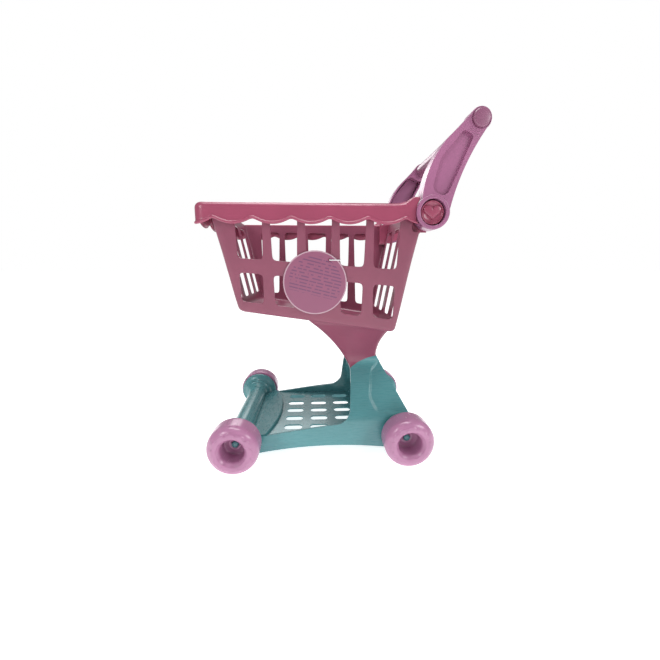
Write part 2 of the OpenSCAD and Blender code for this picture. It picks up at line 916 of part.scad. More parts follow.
module arm_pocket(t = 0) {
    along = [pocket_foot - t, handle_l / 2, pocket_tip + t];
    radii = [pocket_foot_r, pocket_bend_r, pocket_tip_r];
    fronts = [for (i = [0 : 2]) [along[i], pocket_fronts[i] + t]];
    rears = [for (i = [2 : -1 : 0]) [along[i], pocket_rears[i] - t]];
    polygon(rounded(concat(fronts, rears), concat(radii, [for (i = [2 : -1 : 0]) radii[i]])));
}

module handle_arm_right() {
    color(lilac) on_handle() difference() {
        arm_block();
        along_x() circle(ring_bore_r);
        along_x() translate([handle_l, 0]) circle(spigot_r);
        translate([arm_out_x, 0, 0]) along_x(2 * pocket_d) arm_pocket();
        intersection() {
            along_x() intersection() {
                blade(wall);
                translate([pocket_foot, -through / 2])
                    square([handle_l - pocket_foot - arm_end_r - over, through]);
            }
            left() right_half(wall - arm_out_x);
            difference() {
                right_half();
                translate([arm_out_x, 0, 0]) along_x(2 * (pocket_d + wall)) arm_pocket(wall);
            }
        }
    }
}

module handle_arm_left() {
    left() handle_arm_right();
}

module grip_bar() {
    bore_r = spigot_r - wall;
    color(rose) on_handle() translate([0, handle_l, 0]) about_x() {
        translate([bore_r, -arm_in_x]) square([grip_r - bore_r, 2 * arm_in_x]);
        translate([bore_r, -arm_out_x]) square([wall, 2 * arm_out_x]);
    }
}

module grip_cap_right() {
    color(rose) on_handle() translate([arm_out_x, handle_l, 0]) about_x() polygon(rounded([
        [0, 0], [grip_cap_r, 0], [grip_cap_r, grip_cap_proud], [0, grip_cap_proud]
    ], [0, 0, grip_cap_round, 0]));
}

module heart(w) {
    side = w / (1 + sqrt(0.5));
    rotate(45) square(side, center = true);
    for (s = [-1, 1]) translate([s, 1] * side / sqrt(8)) circle(side / 2);
}

module heart_cap_right() {
    color(rose) translate([boss_end_x, pivot_y, pivot_z]) {
        about_x() polygon([
            [0, -cap_stem_l], [cap_stem_r, -cap_stem_l], [cap_stem_r, 0], [heart_cap_r, 0],
            [heart_cap_r, heart_cap_t], [0, heart_cap_t]
        ]);
        translate([heart_cap_t, 0, -heart_down]) along_x(2 * heart_rise) heart(heart_w);
    }
}

// ---- hang tag on the right-hand wall, in a frame that leans with the wall

module on_wall() {
    translate([tub_side(tie_z), hook_y, tie_z]) rotate([0, side_draft, 0]) children();
}

module hang_tag() {
    reach = tag_r - tag_hole_in;
    color(paper) on_wall() translate([tag_gap + tag_t / 2, 0, 0]) along_x(tag_t) difference() {
        translate([-reach * sin(tag_lean), -reach * cos(tag_lean)]) circle(tag_r, $fn = large_fn);
        circle(tag_hole_r);
    }
}

module tag_tie() {
    run_x = tie_out_x + tie_in_x;
    color("white") on_wall() for (y = [0, 2 * tie_half]) {
        translate([-tie_in_x, y, 0]) about_x() square([tie_r, run_x]);
        for (x = [-tie_in_x, tie_out_x]) translate([x, y, 0]) sphere(tie_r);
    }
    color("white") on_wall() for (x = [-tie_in_x, tie_out_x])
        translate([x, 0, 0]) rotate([-90, 0, 0]) cylinder(h = 2 * tie_half, r = tie_r);
}

basket_tub();
basket_rim();
basket_neck();
base_side_left();
base_side_right();
base_tray();
base_post();
front_axle_tube();
rear_axle_tube();
left() wheel(-front_axle_y, front_wheel_x);  // wheel_front_left
wheel(-front_axle_y, front_wheel_x);  // wheel_front_right
left() wheel(rear_axle_y, rear_wheel_x);  // wheel_rear_left
wheel(rear_axle_y, rear_wheel_x);  // wheel_rear_right
left() wheel_pin(-front_axle_y, front_wheel_x);  // wheel_pin_front_left
wheel_pin(-front_axle_y, front_wheel_x);  // wheel_pin_front_right
left() wheel_pin(rear_axle_y, rear_wheel_x);  // wheel_pin_rear_left
wheel_pin(rear_axle_y, rear_wheel_x);  // wheel_pin_rear_right
handle_arm_left();
handle_arm_right();
grip_bar();
left() grip_cap_right();  // grip_cap_left
grip_cap_right();
left() heart_cap_right();  // heart_cap_left
heart_cap_right();
hang_tag();
tag_tie();
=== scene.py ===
"""Looks of a child's shopping cart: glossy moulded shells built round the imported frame."""

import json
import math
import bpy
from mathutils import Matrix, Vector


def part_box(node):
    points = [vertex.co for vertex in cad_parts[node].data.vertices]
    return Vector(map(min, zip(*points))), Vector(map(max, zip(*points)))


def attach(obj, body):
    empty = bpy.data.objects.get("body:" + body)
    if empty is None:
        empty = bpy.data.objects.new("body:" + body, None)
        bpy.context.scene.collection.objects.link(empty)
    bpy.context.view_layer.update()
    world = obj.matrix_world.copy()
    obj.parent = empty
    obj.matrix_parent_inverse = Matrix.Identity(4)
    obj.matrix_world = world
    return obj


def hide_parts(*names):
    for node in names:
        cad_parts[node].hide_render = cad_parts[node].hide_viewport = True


bl_info = {
    "name": "Toy Shopping Cart Shells",
    "version": (1, 0, 0),
    "blender": (4, 5, 0),
    "location": "3D View > Sidebar > Cart",
    "description": "Moulded shells, wheels, handle and hang tag of a child's shopping cart",
    "category": "Add Mesh",
}

import bmesh
import bpy
from mathutils import Matrix, Vector
from mathutils.geometry import delaunay_2d_cdt

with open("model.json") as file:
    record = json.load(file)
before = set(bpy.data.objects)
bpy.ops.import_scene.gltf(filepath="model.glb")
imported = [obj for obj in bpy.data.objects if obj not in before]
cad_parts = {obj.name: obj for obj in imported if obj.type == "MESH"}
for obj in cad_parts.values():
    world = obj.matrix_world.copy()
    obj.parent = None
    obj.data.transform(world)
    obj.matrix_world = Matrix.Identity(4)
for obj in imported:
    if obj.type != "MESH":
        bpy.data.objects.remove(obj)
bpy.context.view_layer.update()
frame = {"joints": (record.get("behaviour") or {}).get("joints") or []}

# Shapes are worked out in millimetres and scaled once, when a piece is finished
MM = 0.001
X_AXIS = Vector((1, 0, 0))


def box_mm(node):
    """Lowest and highest corner of a CAD node, in millimetres."""
    low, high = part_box(node)
    return low / MM, high / MM


def joint_mm(name):
    """Place of a joint's axis, in millimetres."""
    return Vector(next(j["pos_m"] for j in frame["joints"] if j["name"] == name)) / MM


TUB_LOW, TUB_HIGH = box_mm("basket_tub")
RIM_LOW, RIM_HIGH = box_mm("basket_rim")
ARM_LOW, ARM_HIGH = box_mm("handle_arm_right")
CAP_LOW, CAP_HIGH = box_mm("grip_cap_right")
GRIP_LOW, GRIP_HIGH = box_mm("grip_bar")
HEART_LOW, HEART_HIGH = box_mm("heart_cap_right")
PIVOT = joint_mm("handle_fold")
HOOK = joint_mm("tag_swing")

WALL = 2.6

# ---- basket: leaning walls and rows of windows that fan towards the bottom's own slope
FRONT_LEAN = math.tan(math.radians(12.3))
REAR_LEAN = math.tan(math.radians(10.5))
SIDE_LEAN = math.tan(math.radians(5))
FALL = math.tan(math.radians(8.4))
RIB_FLARE = math.tan(math.radians(1.4))
TOP_Z = TUB_HIGH.z
MIDDLE_Y = (TUB_LOW.y + TUB_HIGH.y) / 2
TUB_DEPTH = 151
TOE_Y = TUB_LOW.y + TUB_DEPTH * FRONT_LEAN
TOE_Z = TOP_Z - TUB_DEPTH
SIDE_PITCH = 49.2
END_PITCH = 52.75
RIB_W = 10
RIM_TOP_Z = TOP_Z + 2.6

# ---- pockets in the rim's rear corners, which hold the handle's rings
RING_R = 23.4
RING_BORE_R = 18
GAP = 1.5
EAR_X = ARM_LOW.x - GAP
POCKET_Y = PIVOT.y - RING_R - GAP
POCKET_Z = PIVOT.z - RING_R - GAP


def lerp(a, b, t):
    return a + (b - a) * t


def smooth(t):
    t = min(max(t, 0), 1)
    return t * t * (3 - 2 * t)


def front_y(z):
    return TUB_LOW.y + (TOP_Z - z) * FRONT_LEAN


def rear_y(z):
    return TUB_HIGH.y - (TOP_Z - z) * REAR_LEAN


def side_x(z):
    return TUB_HIGH.x - (TOP_Z - z) * SIDE_LEAN


def bottom_z(y):
    return TOE_Z - (y - TOE_Y) * FALL


BOTTOM_LEVEL = bottom_z(MIDDLE_Y)


def row_z(level, y):
    """Height of a row at y: level with the rim at the top, and along the bottom at the bottom."""
    return level - (y - MIDDLE_Y) * FALL * (TOP_Z - level) / (TOP_Z - BOTTOM_LEVEL)


def window_half(pitch, z):
    return (pitch - RIB_W) / 2 - (TOP_Z - z) * RIB_FLARE


# ---- outlines


def bow(p, q, sag, steps=14):
    """Points on a shallow arc from p to q that bulges by sag to the left of the way from p to q."""
    p, q = Vector(p), Vector(q)
    half = (q - p).length / 2
    r = (half * half + sag * sag) / (2 * abs(sag))
    turn = math.copysign(2 * math.asin(half / r), sag)
    along = (q - p).normalized()
    left = Vector((-along.y, along.x))
    centre = (p + q) / 2 + left * (sag - math.copysign(r, sag))
    first = math.atan2(p.y - centre.y, p.x - centre.x)
    angles = [first - turn * i / steps for i in range(steps + 1)]
    return [centre + r * Vector((math.cos(a), math.sin(a))) for a in angles]


def corner(a, b, c, r, steps=8):
    """Points that round the corner b between a and c."""
    a, b, c = Vector(a), Vector(b), Vector(c)
    if r == 0:
        return [b]
    u, v = (a - b).normalized(), (c - b).normalized()
    half = u.angle(v) / 2
    centre = b + (u + v).normalized() * r / math.sin(half)
    p = b + u * r / math.tan(half) - centre
    q = b + v * r / math.tan(half) - centre
    first = math.atan2(p.y, p.x)
    turn = (math.atan2(q.y, q.x) - first + 3 * math.pi) % (2 * math.pi) - math.pi
    angles = [first + turn * i / steps for i in range(steps + 1)]
    return [centre + r * Vector((math.cos(t), math.sin(t))) for t in angles]


def rounded(points, radii, steps=8):
    """A closed outline with a radius at each of its points."""
    n = len(points)
    return [
        p
        for i in range(n)
        for p in corner(points[i - 1], points[i], points[(i + 1) % n], radii[i], steps)
    ]


def circle(centre, r, steps=72):
    angles = [2 * math.pi * i / steps for i in range(steps)]
    return [Vector(centre) + r * Vector((math.cos(a), math.sin(a))) for a in angles]


def rectangle(low, high):
    """Corners of a rectangle that lies square to the axes."""
    return [Vector(low), Vector((high[0], low[1])), Vector(high), Vector((low[0], high[1]))]


def arc(centre, r, first, last, steps):
    """Points [radius, x] on part of a circle, for a profile that is spun; angles in degrees."""
    angles = [math.radians(lerp(first, last, i / steps)) for i in range(steps + 1)]
    return [(centre[0] + r * math.cos(a), centre[1] + r * math.sin(a)) for a in angles]


# ---- mesh building


def patch(bm, columns, rows, place, keep=None):
    """A grid of faces whose corner (i, j) lies at place(i, j); keep(i, j) says which cells stay."""
    verts = bmesh.ops.create_grid(bm, x_segments=columns, y_segments=rows, size=1)["verts"]
    if keep:
        gone = []
        for face in {f for v in verts for f in v.link_faces}:
            middle = face.calc_center_median()
            cell = int((middle.x + 1) / 2 * columns), int((middle.y + 1) / 2 * rows)
            if not keep(*cell):
                gone.append(face)
        bmesh.ops.delete(bm, geom=gone, context="FACES")
        verts = [v for v in verts if v.is_valid]
    for vert in verts:
        i, j = round((vert.co.x + 1) / 2 * columns), round((vert.co.y + 1) / 2 * rows)
        vert.co = place(i, j)
    return verts


def sheet_of(bm, loops, wanted, place):
    """Flat faces cut out by closed outlines. wanted(inside) picks them by the outlines they lie in."""
    points, faces = [], []
    for loop in loops:
        area = sum(loop[i - 1].cross(loop[i]) for i in range(len(loop)))
        faces.append(list(range(len(points), len(points) + len(loop))))
        points += loop if area > 0 else loop[::-1]
    flat, _, cut, _, _, inside = delaunay_2d_cdt(points, [], faces, 1, 1e-4)
    verts = [bm.verts.new(place(*p)) for p in flat]
    made = []
    for face, holders in zip(cut, inside):
        if wanted(set(holders)):
            made.append(bm.faces.new([verts[i] for i in face]))
            made[-1].material_index = max(holders)
    bmesh.ops.delete(bm, geom=[v for v in verts if not v.link_faces], context="VERTS")
    return made


def merge_flat(bm):
    """Joins triangles that lie in one plane and in the same outlines."""
    bmesh.ops.dissolve_limit(
        bm,
        angle_limit=math.radians(0.3),
        verts=bm.verts[:],
        edges=bm.edges[:],
        delimit={"MATERIAL"},
    )


def turn_outward(bm):
    """Makes all the faces look outwards."""
    bmesh.ops.recalc_face_normals(bm, faces=bm.faces[:])


def raise_faces(bm, faces, by, closed=True):
    """Extrudes faces and moves the new ones; closed keeps the old ones as the far side of a plate."""
    made = bmesh.ops.extrude_face_region(bm, geom=faces)["geom"]
    if not closed:
        bmesh.ops.delete(bm, geom=faces, context="FACES_ONLY")
    bmesh.ops.translate(bm, vec=by, verts=[v for v in made if isinstance(v, bmesh.types.BMVert)])
    return [f for f in made if isinstance(f, bmesh.types.BMFace)]


def spun(bm, profile, centre, steps=96, closed=False):
    """Spins a profile of [radius, x] about the X axis through centre."""
    verts = [bm.verts.new((x, centre[0], centre[1] + r)) for r, x in profile]
    ends = verts[1:] + ([verts[0]] if closed else [])
    edges = [bm.edges.new(pair) for pair in zip(verts, ends)]
    bmesh.ops.spin(
        bm,
        geom=verts + edges,
        cent=(0, centre[0], centre[1]),
        axis=X_AXIS,
        angle=2 * math.pi,
        steps=steps,
        use_merge=True,
    )


def piece(
    name, bm, body, slot, nodes=(), subdivide=0, wall=0, bevel=0, segments=3, angle=32,
    fixed=False, side=1,
):
    """Finishes a shape as a named object that rides on a body and stands for CAD nodes.

    A right-hand shape with side -1 turns into the left-hand one; fixed keeps the normals as they are."""
    if side < 0:
        bmesh.ops.scale(bm, vec=(-1, 1, 1), verts=bm.verts[:])
    bmesh.ops.remove_doubles(bm, verts=bm.verts[:], dist=0.002)
    if not fixed:
        turn_outward(bm)
    bmesh.ops.scale(bm, vec=(MM, MM, MM), verts=bm.verts[:])
    for face in bm.faces:
        face.smooth = True
        face.material_index = 0
    mesh = bpy.data.meshes.new(name)
    bm.to_mesh(mesh)
    bm.free()
    mesh.materials.append(material_of(slot))
    shell = bpy.data.objects.new(name, mesh)
    bpy.context.scene.collection.objects.link(shell)
    if subdivide:
        made = shell.modifiers.new("smooth_form", "SUBSURF")
        made.levels = made.render_levels = subdivide
    if wall:
        made = shell.modifiers.new("wall", "SOLIDIFY")
        made.thickness = wall * MM
        made.offset = -1
    if bevel:
        made = shell.modifiers.new("soft_edges", "BEVEL")
        made.limit_method = "ANGLE"
        made.angle_limit = math.radians(angle)
        made.width = bevel * MM
        made.segments = segments
        shell.modifiers.new("flat_faces", "WEIGHTED_NORMAL").weight = 60
    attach(shell, body)
    if nodes:
        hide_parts(*nodes)
    return shell


# ---- materials


def feed(tree, socket, value):
    """Links a socket to another one, or sets it to a value."""
    if isinstance(value, bpy.types.NodeSocket):
        tree.links.new(value, socket)
    else:
        socket.default_value = value


def shader_node(tree, kind, **inputs):
    """A shader node with its inputs set or linked; an underscore stands for a space in a name."""
    node = tree.nodes.new(f"ShaderNode{kind}")
    for name, value in inputs.items():
        feed(tree, node.inputs[name.replace("_", " ")], value)
    return node


def math_of(tree, operation, *values):
    """Output of a math node that works on sockets or numbers."""
    node = tree.nodes.new("ShaderNodeMath")
    node.operation = operation
    for socket, value in zip(node.inputs, values):
        feed(tree, socket, value)
    return node.outputs[0]


def mixed(tree, share, first, second):
    """Output of a node that mixes two colours."""
    node = tree.nodes.new("ShaderNodeMix")
    node.data_type = "RGBA"
    for name, value in (("Factor", share), ("A", first), ("B", second)):
        feed(tree, node.inputs[name], value)
    return node.outputs["Result"]


def new_material(name, **inputs):
    """A material whose main shader has the given inputs."""
    made = bpy.data.materials.new(name)
    made.use_nodes = True
    shader = made.node_tree.nodes["Principled BSDF"]
    for socket, value in inputs.items():
        shader.inputs[socket.replace("_", " ")].default_value = value
    return made, made.node_tree, shader


def plastic(name, colour, gloss=0.3, peel=0.08, shade=0.9, coat=0.25):
    """Glossy moulded plastic: clouded colour, uneven gloss from hairline marks, and a fine peel."""
    made, tree, shader = new_material(name, Coat_Weight=coat, Coat_Roughness=0.12, IOR=1.49)
    place = tree.nodes.new("ShaderNodeTexCoord").outputs["Object"]
    cloud = shader_node(tree, "TexNoise", Scale=14, Detail=4, Vector=place)
    tint = shader_node(tree, "ValToRGB", Fac=cloud.outputs["Fac"])
    for stop, position, share in zip(tint.color_ramp.elements, (0.3, 0.7), (shade, 2 - shade)):
        stop.position = position
        stop.color = [min(c * share, 1) for c in colour[:3]] + [1]
    stretch = shader_node(tree, "Mapping", Scale=(60, 60, 900), Rotation=(0.5, 0.3, 0), Vector=place)
    marks = shader_node(tree, "TexNoise", Scale=1, Detail=3, Vector=stretch.outputs["Vector"])
    uneven = shader_node(tree, "MapRange", Value=marks.outputs["Fac"], From_Min=0.35, From_Max=0.75)
    uneven.inputs["To Min"].default_value = gloss * 0.94
    uneven.inputs["To Max"].default_value = gloss * 1.08
    skin = shader_node(tree, "TexNoise", Scale=420, Detail=2, Vector=place)
    bump = shader_node(tree, "Bump", Strength=peel, Distance=0.0004, Height=skin.outputs["Fac"])
    feed(tree, shader.inputs["Base Color"], tint.outputs["Color"])
    feed(tree, shader.inputs["Roughness"], uneven.outputs["Result"])
    feed(tree, shader.inputs["Normal"], bump.outputs["Normal"])
    return made


PRINT_PITCH = 0.0048
PRINT_REACH = 0.039
PRINT_FOOT = -0.018
BORDER_REACH = 0.0452
BORDER_TONE = (0.85, 0.7, 0.75, 1)


def printed_card(name, card, ink):
    """Varnished pink card with plain ruled lines in short runs, and a pale border."""
    made = plastic(name, card, gloss=0.32, peel=0.05, shade=0.97, coat=0.4)
    tree = made.node_tree
    paper = tree.nodes["Principled BSDF"].inputs["Base Color"]
    tint = paper.links[0].from_socket
    turned = tree.nodes.new("ShaderNodeMapping")
    turned.vector_type = "TEXTURE"
    feed(tree, turned.inputs["Location"], TAG_CENTRE * MM)
    feed(tree, turned.inputs["Rotation"], (math.radians(TAG_TEXT_TILT), 0, 0))
    feed(tree, turned.inputs["Vector"], tree.nodes.new("ShaderNodeTexCoord").outputs["Object"])
    place = turned.outputs["Vector"]
    split = shader_node(tree, "SeparateXYZ", Vector=place)
    rows = math_of(tree, "MULTIPLY", split.outputs["Z"], 1 / PRINT_PITCH)
    stripe = math_of(tree, "LESS_THAN", math_of(tree, "FRACT", rows), 0.36)
    across = math_of(tree, "MULTIPLY", split.outputs["Y"], 170)
    row = math_of(tree, "MULTIPLY", math_of(tree, "FLOOR", rows), 7.3)
    words = shader_node(tree, "CombineXYZ", X=across, Y=row)
    runs = shader_node(tree, "TexNoise", Scale=1, Detail=1, Vector=words.outputs["Vector"])
    run = math_of(tree, "GREATER_THAN", runs.outputs["Fac"], 0.43)
    far = tree.nodes.new("ShaderNodeVectorMath")
    far.operation = "LENGTH"
    feed(tree, far.inputs[0], place)
    reach = far.outputs["Value"]
    inside = math_of(tree, "LESS_THAN", reach, PRINT_REACH)
    above = math_of(tree, "GREATER_THAN", split.outputs["Z"], PRINT_FOOT)
    lines = math_of(tree, "MULTIPLY", stripe, run)
    mask = math_of(tree, "MULTIPLY", lines, math_of(tree, "MULTIPLY", inside, above))
    paint = mixed(tree, math_of(tree, "MULTIPLY", mask, 0.75), tint, (*ink[:3], 1))
    border = math_of(tree, "MULTIPLY", math_of(tree, "GREATER_THAN", reach, BORDER_REACH), 0.35)
    feed(tree, paper, mixed(tree, border, paint, BORDER_TONE))
    return made


# ---- basket

# Where the lines beside a corner lie, from the window's edge (0) to the corner (1)
STAY_SHARES = (0.32, 0.12)
SILL_H = 18
CORNER_STEP = 12
BAND_UP = 76.5
BAND_HALF = 11.25
HEAD_H = 14
CORNER_REACH = 32
CORNER_PUSH = 12


def wall_lines(low, high, pitch, count, middle, round_d, stops):
    """Lines down a wall, each a function of height: corner, two stays, four a window, two stays, corner.

    stops gives the place beside the pockets, at each end, that the stays keep to, or None."""

    def window_line(centre, side, inset):
        return lambda z: centre + side * (window_half(pitch, z) - inset)

    def stay(edge, inner, share, stop):
        def line(z):
            if stop is None or z < POCKET_Z - 1:
                return lerp(inner(z), edge(z), share)
            return stop if share == STAY_SHARES[1] else (stop + edge(z)) / 2

        return line

    windows = []
    for i in range(count):
        centre = middle + (i - (count - 1) / 2) * pitch
        for side, inset in ((-1, 0), (-1, round_d), (1, round_d), (1, 0)):
            windows.append(window_line(centre, side, inset))
    head = [low] + [stay(low, windows[0], share, stops[0]) for share in STAY_SHARES]
    tail = [stay(high, windows[-1], share, stops[1]) for share in STAY_SHARES[::-1]] + [high]
    return head + windows + tail


def basket_rows(d):
    """Levels of the walls' rows, from the bottom to the rim; the eighth is the pockets' own."""
    low, high = BOTTOM_LEVEL + SILL_H, TOP_Z - HEAD_H
    under, over = BOTTOM_LEVEL + BAND_UP - BAND_HALF, BOTTOM_LEVEL + BAND_UP + BAND_HALF
    share = (TOP_Z - POCKET_Z) / (TOP_Z - BOTTOM_LEVEL)
    pocket = POCKET_Z + (POCKET_Y - MIDDLE_Y) * FALL * share * 0.9
    rows = [BOTTOM_LEVEL, BOTTOM_LEVEL + CORNER_STEP, low, low + d, under - d, under]
    return rows + [over, over + d, pocket, high - d, high, TOP_Z]


def is_window(i, j, count):
    """Whether a cell of a wall with count windows in a row lies in a window."""
    inside = 3 <= i < 3 + 4 * count - 1 and (i - 3) % 4 != 3
    return inside and (2 <= j < 5 or 6 <= j < 10)


def clear_of_corners(y, low, high):
    """Moves a line that comes close to the toe or the heel away, so that the corner turns out round."""
    for edge, way in ((low, 1), (high, -1)):
        gap = (y - edge) * way
        if 0 < gap < CORNER_REACH:
            return y + way * CORNER_PUSH * (1 - gap / CORNER_REACH)
    return y


def make_tub(sizes):
    bm = bmesh.new()
    d = sizes.window_round / MM * 1.75
    rows = basket_rows(d)
    side_lines = wall_lines(front_y, rear_y, SIDE_PITCH, 5, MIDDLE_Y, d, (None, POCKET_Y))
    end_stop = EAR_X - WALL
    end_lines = wall_lines(lambda z: -side_x(z), side_x, END_PITCH, 4, 0, d, (-end_stop, end_stop))

    def on_side(line, level):
        y, z = 0, level
        for _ in range(6):
            y = line(z)
            if level < rows[2]:
                y = clear_of_corners(y, front_y(z), rear_y(z))
            z = row_z(level, y)
        return y, z

    columns, across = len(side_lines) - 1, len(end_lines) - 1
    for s in (-1, 1):

        def side_place(i, j, s=s):
            y, z = on_side(side_lines[i], rows[j])
            return s * side_x(z), y, z

        def side_keep(i, j):
            return not is_window(i, j, 5) and not (i >= columns - 2 and j >= 8)

        patch(bm, columns, len(rows) - 1, side_place, side_keep)

    for wall in (front_y, rear_y):

        def end_place(i, j, wall=wall):
            y, z = on_side(wall, rows[j])
            return end_lines[i](z), y, z

        def end_keep(i, j, wall=wall):
            notch = wall is rear_y and (i < 2 or i >= across - 2) and j >= 8
            return not is_window(i, j, 4) and not notch

        patch(bm, across, len(rows) - 1, end_place, end_keep)

    front, rear = on_side(front_y, rows[0]), on_side(rear_y, rows[0])

    def floor_place(i, j):
        y, z = on_side(side_lines[i], rows[0])
        t = (y - front[0]) / (rear[0] - front[0])
        shares = [end_lines[j](end_z) / side_x(end_z) for end_z in (front[1], rear[1])]
        return side_x(z) * lerp(*shares, t), y, z

    patch(bm, columns, across, floor_place)
    return piece(
        "basket_tub_shell", bm, "cart", "basket_plastic", ["basket_tub"],
        subdivide=2, wall=sizes.wall / MM, bevel=0.7, segments=2, angle=50,
    )


# ---- rim

CUSP_Z = RIM_TOP_Z - 21
SCALLOP_DROP = 9
CUSP_ROUND = 1.2
CORNER_RUN = 27.5
SIDE_CUSPS = (RIM_LOW.y + CORNER_RUN, POCKET_Y - 12)
FRONT_CUSP_X = RIM_HIGH.x - CORNER_RUN
SKIRT_X = RIM_HIGH.x
REAR_SKIRT_Y = TUB_HIGH.y + 4
CORNER_R = 14
EAR_RISE = 8
EAR_RUN = 27
EAR_TIP_Y = PIVOT.y - 18


def scallop(t, width):
    """How far a scallop hangs below its cusps, from one cusp (t = 0) to the next (t = 1)."""
    r = width * width / (8 * SCALLOP_DROP) + SCALLOP_DROP / 2
    sharp = math.sqrt(max(r * r - ((t - 0.5) * width) ** 2, 0)) - (r - SCALLOP_DROP)
    return math.hypot(sharp, CUSP_ROUND)


def rim_stations():
    """Places along the right half of the skirt: x, y, outward direction, hang, and share of the ear."""
    made = []
    front_w = FRONT_CUSP_X / 2
    for i in range(20):
        made.append((front_w * i / 10, RIM_LOW.y, (0, -1), scallop(i % 10 / 10, front_w), 0))
    straight = CORNER_RUN - CORNER_R
    curve = CORNER_R * math.pi / 2
    total = 2 * straight + curve
    for i in range(16):
        run = total * i / 16
        hang = scallop(i / 16, total)
        if run < straight:
            made.append((FRONT_CUSP_X + run, RIM_LOW.y, (0, -1), hang, 0))
        elif run < straight + curve:
            a = (run - straight) / CORNER_R
            x = SKIRT_X - CORNER_R + CORNER_R * math.sin(a)
            y = RIM_LOW.y + CORNER_R - CORNER_R * math.cos(a)
            made.append((x, y, (math.sin(a), -math.cos(a)), hang, 0))
        else:
            y = RIM_LOW.y + CORNER_R + run - straight - curve
            made.append((SKIRT_X, y, (1, 0), hang, 0))
    side_w = (SIDE_CUSPS[1] - SIDE_CUSPS[0]) / 5
    for i in range(50):
        y = SIDE_CUSPS[0] + side_w * i / 10
        made.append((SKIRT_X, y, (1, 0), scallop(i % 10 / 10, side_w), 0))
    for i in range(7):
        y = SIDE_CUSPS[1] + side_w * i / 6 * 0.3
        made.append((SKIRT_X, y, (1, 0), scallop(i / 6 * 0.3, side_w), i / 6))
    return made


def make_rim(sizes):
    bm = bmesh.new()
    stations = rim_stations()
    shoulder = sizes.shoulder / MM
    bead = sizes.bead / MM
    turn = [math.radians(a) for a in (0, 18, 36, 54, 72, 90)]
    bead_rows = ((5.6, 0), (4.2, 0.05), (3.5, 0.75), (2.5, 1), (1.3, 1), (0.4, 0.7), (0, 0.1))
    inner_x, inner_y = TUB_HIGH.x - WALL, TUB_LOW.y + WALL
    ear_y = POCKET_Y - EAR_RUN

    def rise(y):
        return EAR_RISE * min(max((y - ear_y) / (EAR_TIP_Y - 5 - ear_y), 0), 1) ** 2

    def rim_place(i, j):
        x, y, out, hang, ear = stations[i]
        in_x, in_y = min(x, inner_x), max(y, inner_y)
        top = RIM_TOP_Z + rise(lerp(y, EAR_TIP_Y, ear))
        edge = CUSP_Z - hang
        r = lerp(shoulder, 2.5, smooth(ear * 1.6))
        if j < 3:
            up, push = ((-3.4, 0), (-0.8, 0), (0, 0.8))[j]
            point = (in_x + push * out[0], in_y + push * out[1], RIM_TOP_Z + up)
            end = POCKET_Y - 0.1
        else:
            if j < 9:
                push, z = r * math.sin(turn[j - 3]) - r, top - r + r * math.cos(turn[j - 3])
            elif j == 9:
                push, z = 0, lerp(top - r, edge + 5, 0.5)
            else:
                up, share = bead_rows[j - 10]
                push, z = share * bead, edge + up
            point = (x + push * out[0], y + push * out[1], z)
            reach = RING_R + GAP
            end = min(PIVOT.y - math.sqrt(max(reach * reach - (z - PIVOT.z) ** 2, 1)), EAR_TIP_Y)
        return (point[0], lerp(SIDE_CUSPS[1], end, ear), point[2]) if ear > 0 else point

    patch(bm, len(stations) - 1, 16, rim_place)
    bmesh.ops.mirror(bm, geom=bm.verts[:] + bm.edges[:] + bm.faces[:], axis="X", merge_dist=0.01)

    rear_rows = [(REAR_SKIRT_Y - 6.6, RIM_TOP_Z - 3.4), (REAR_SKIRT_Y - 6.6, RIM_TOP_Z - 0.8)]
    rear_rows += [(REAR_SKIRT_Y - 5.8, RIM_TOP_Z)]
    rear_rows += [(REAR_SKIRT_Y - 4 + 4 * math.sin(a), RIM_TOP_Z - 4 + 4 * math.cos(a)) for a in turn]
    rear_rows += [(REAR_SKIRT_Y + share * bead, CUSP_Z + up) for up, share in ((8, 0),) + bead_rows]

    def rear_place(i, j):
        y, z = rear_rows[j]
        return lerp(-EAR_X, EAR_X, i / 24), y, z

    patch(bm, 24, len(rear_rows) - 1, rear_place)
    return piece(
        "basket_rim_shell", bm, "cart", "rim_plastic", ["basket_rim"],
        subdivide=1, wall=sizes.wall / MM, bevel=0.5, segments=2, angle=50,
    )


def make_pockets():
    """Walls of the two rear pockets, the plates beside the rings and the bosses that the rings turn on."""
    bm = bmesh.new()
    top = RIM_TOP_Z - 0.4
    plate = [(POCKET_Y - WALL, POCKET_Z), (PIVOT.y, POCKET_Z)]
    plate += [(REAR_SKIRT_Y - 1, top), (POCKET_Y - WALL, top)]
    disc = circle(PIVOT.yz, RING_R - 3)
    loops = [[Vector(p) for p in plate], disc]
    faces = sheet_of(bm, loops, lambda inside: True, lambda y, z: (EAR_X - WALL, y, z))
    raise_faces(bm, faces, (WALL, 0, 0))
    start = (EAR_X - WALL, POCKET_Y - WALL)
    wall_x = side_x(POCKET_Z)
    block(bm, start, (SKIRT_X - 1.5, POCKET_Y), CUSP_Z - 1, RIM_TOP_Z - 1.2)
    block(bm, start, (wall_x - 0.5, POCKET_Y), POCKET_Z - WALL, CUSP_Z)
    block(bm, start, (wall_x - 0.6, rear_y(POCKET_Z) - 0.6), POCKET_Z - WALL, POCKET_Z)
    boss_r, boss_end = RING_BORE_R - 0.05, HEART_HIGH.x - 9.5
    boss = [(0, EAR_X - 1), (boss_r, EAR_X - 1), (boss_r, boss_end), (0, boss_end)]
    spun(bm, boss, PIVOT.yz)
    turn_outward(bm)
    bmesh.ops.mirror(bm, geom=bm.verts[:] + bm.edges[:] + bm.faces[:], axis="X", merge_dist=0)
    return piece("rim_pockets", bm, "cart", "rim_plastic", bevel=0.5, segments=2)


def block(bm, start, end, low, high):
    """A block between two corners of its plan, from height low to height high."""
    base = bm.faces.new([bm.verts.new((x, y, low)) for x, y in rectangle(start, end)])
    raise_faces(bm, [base], (0, 0, high - low))


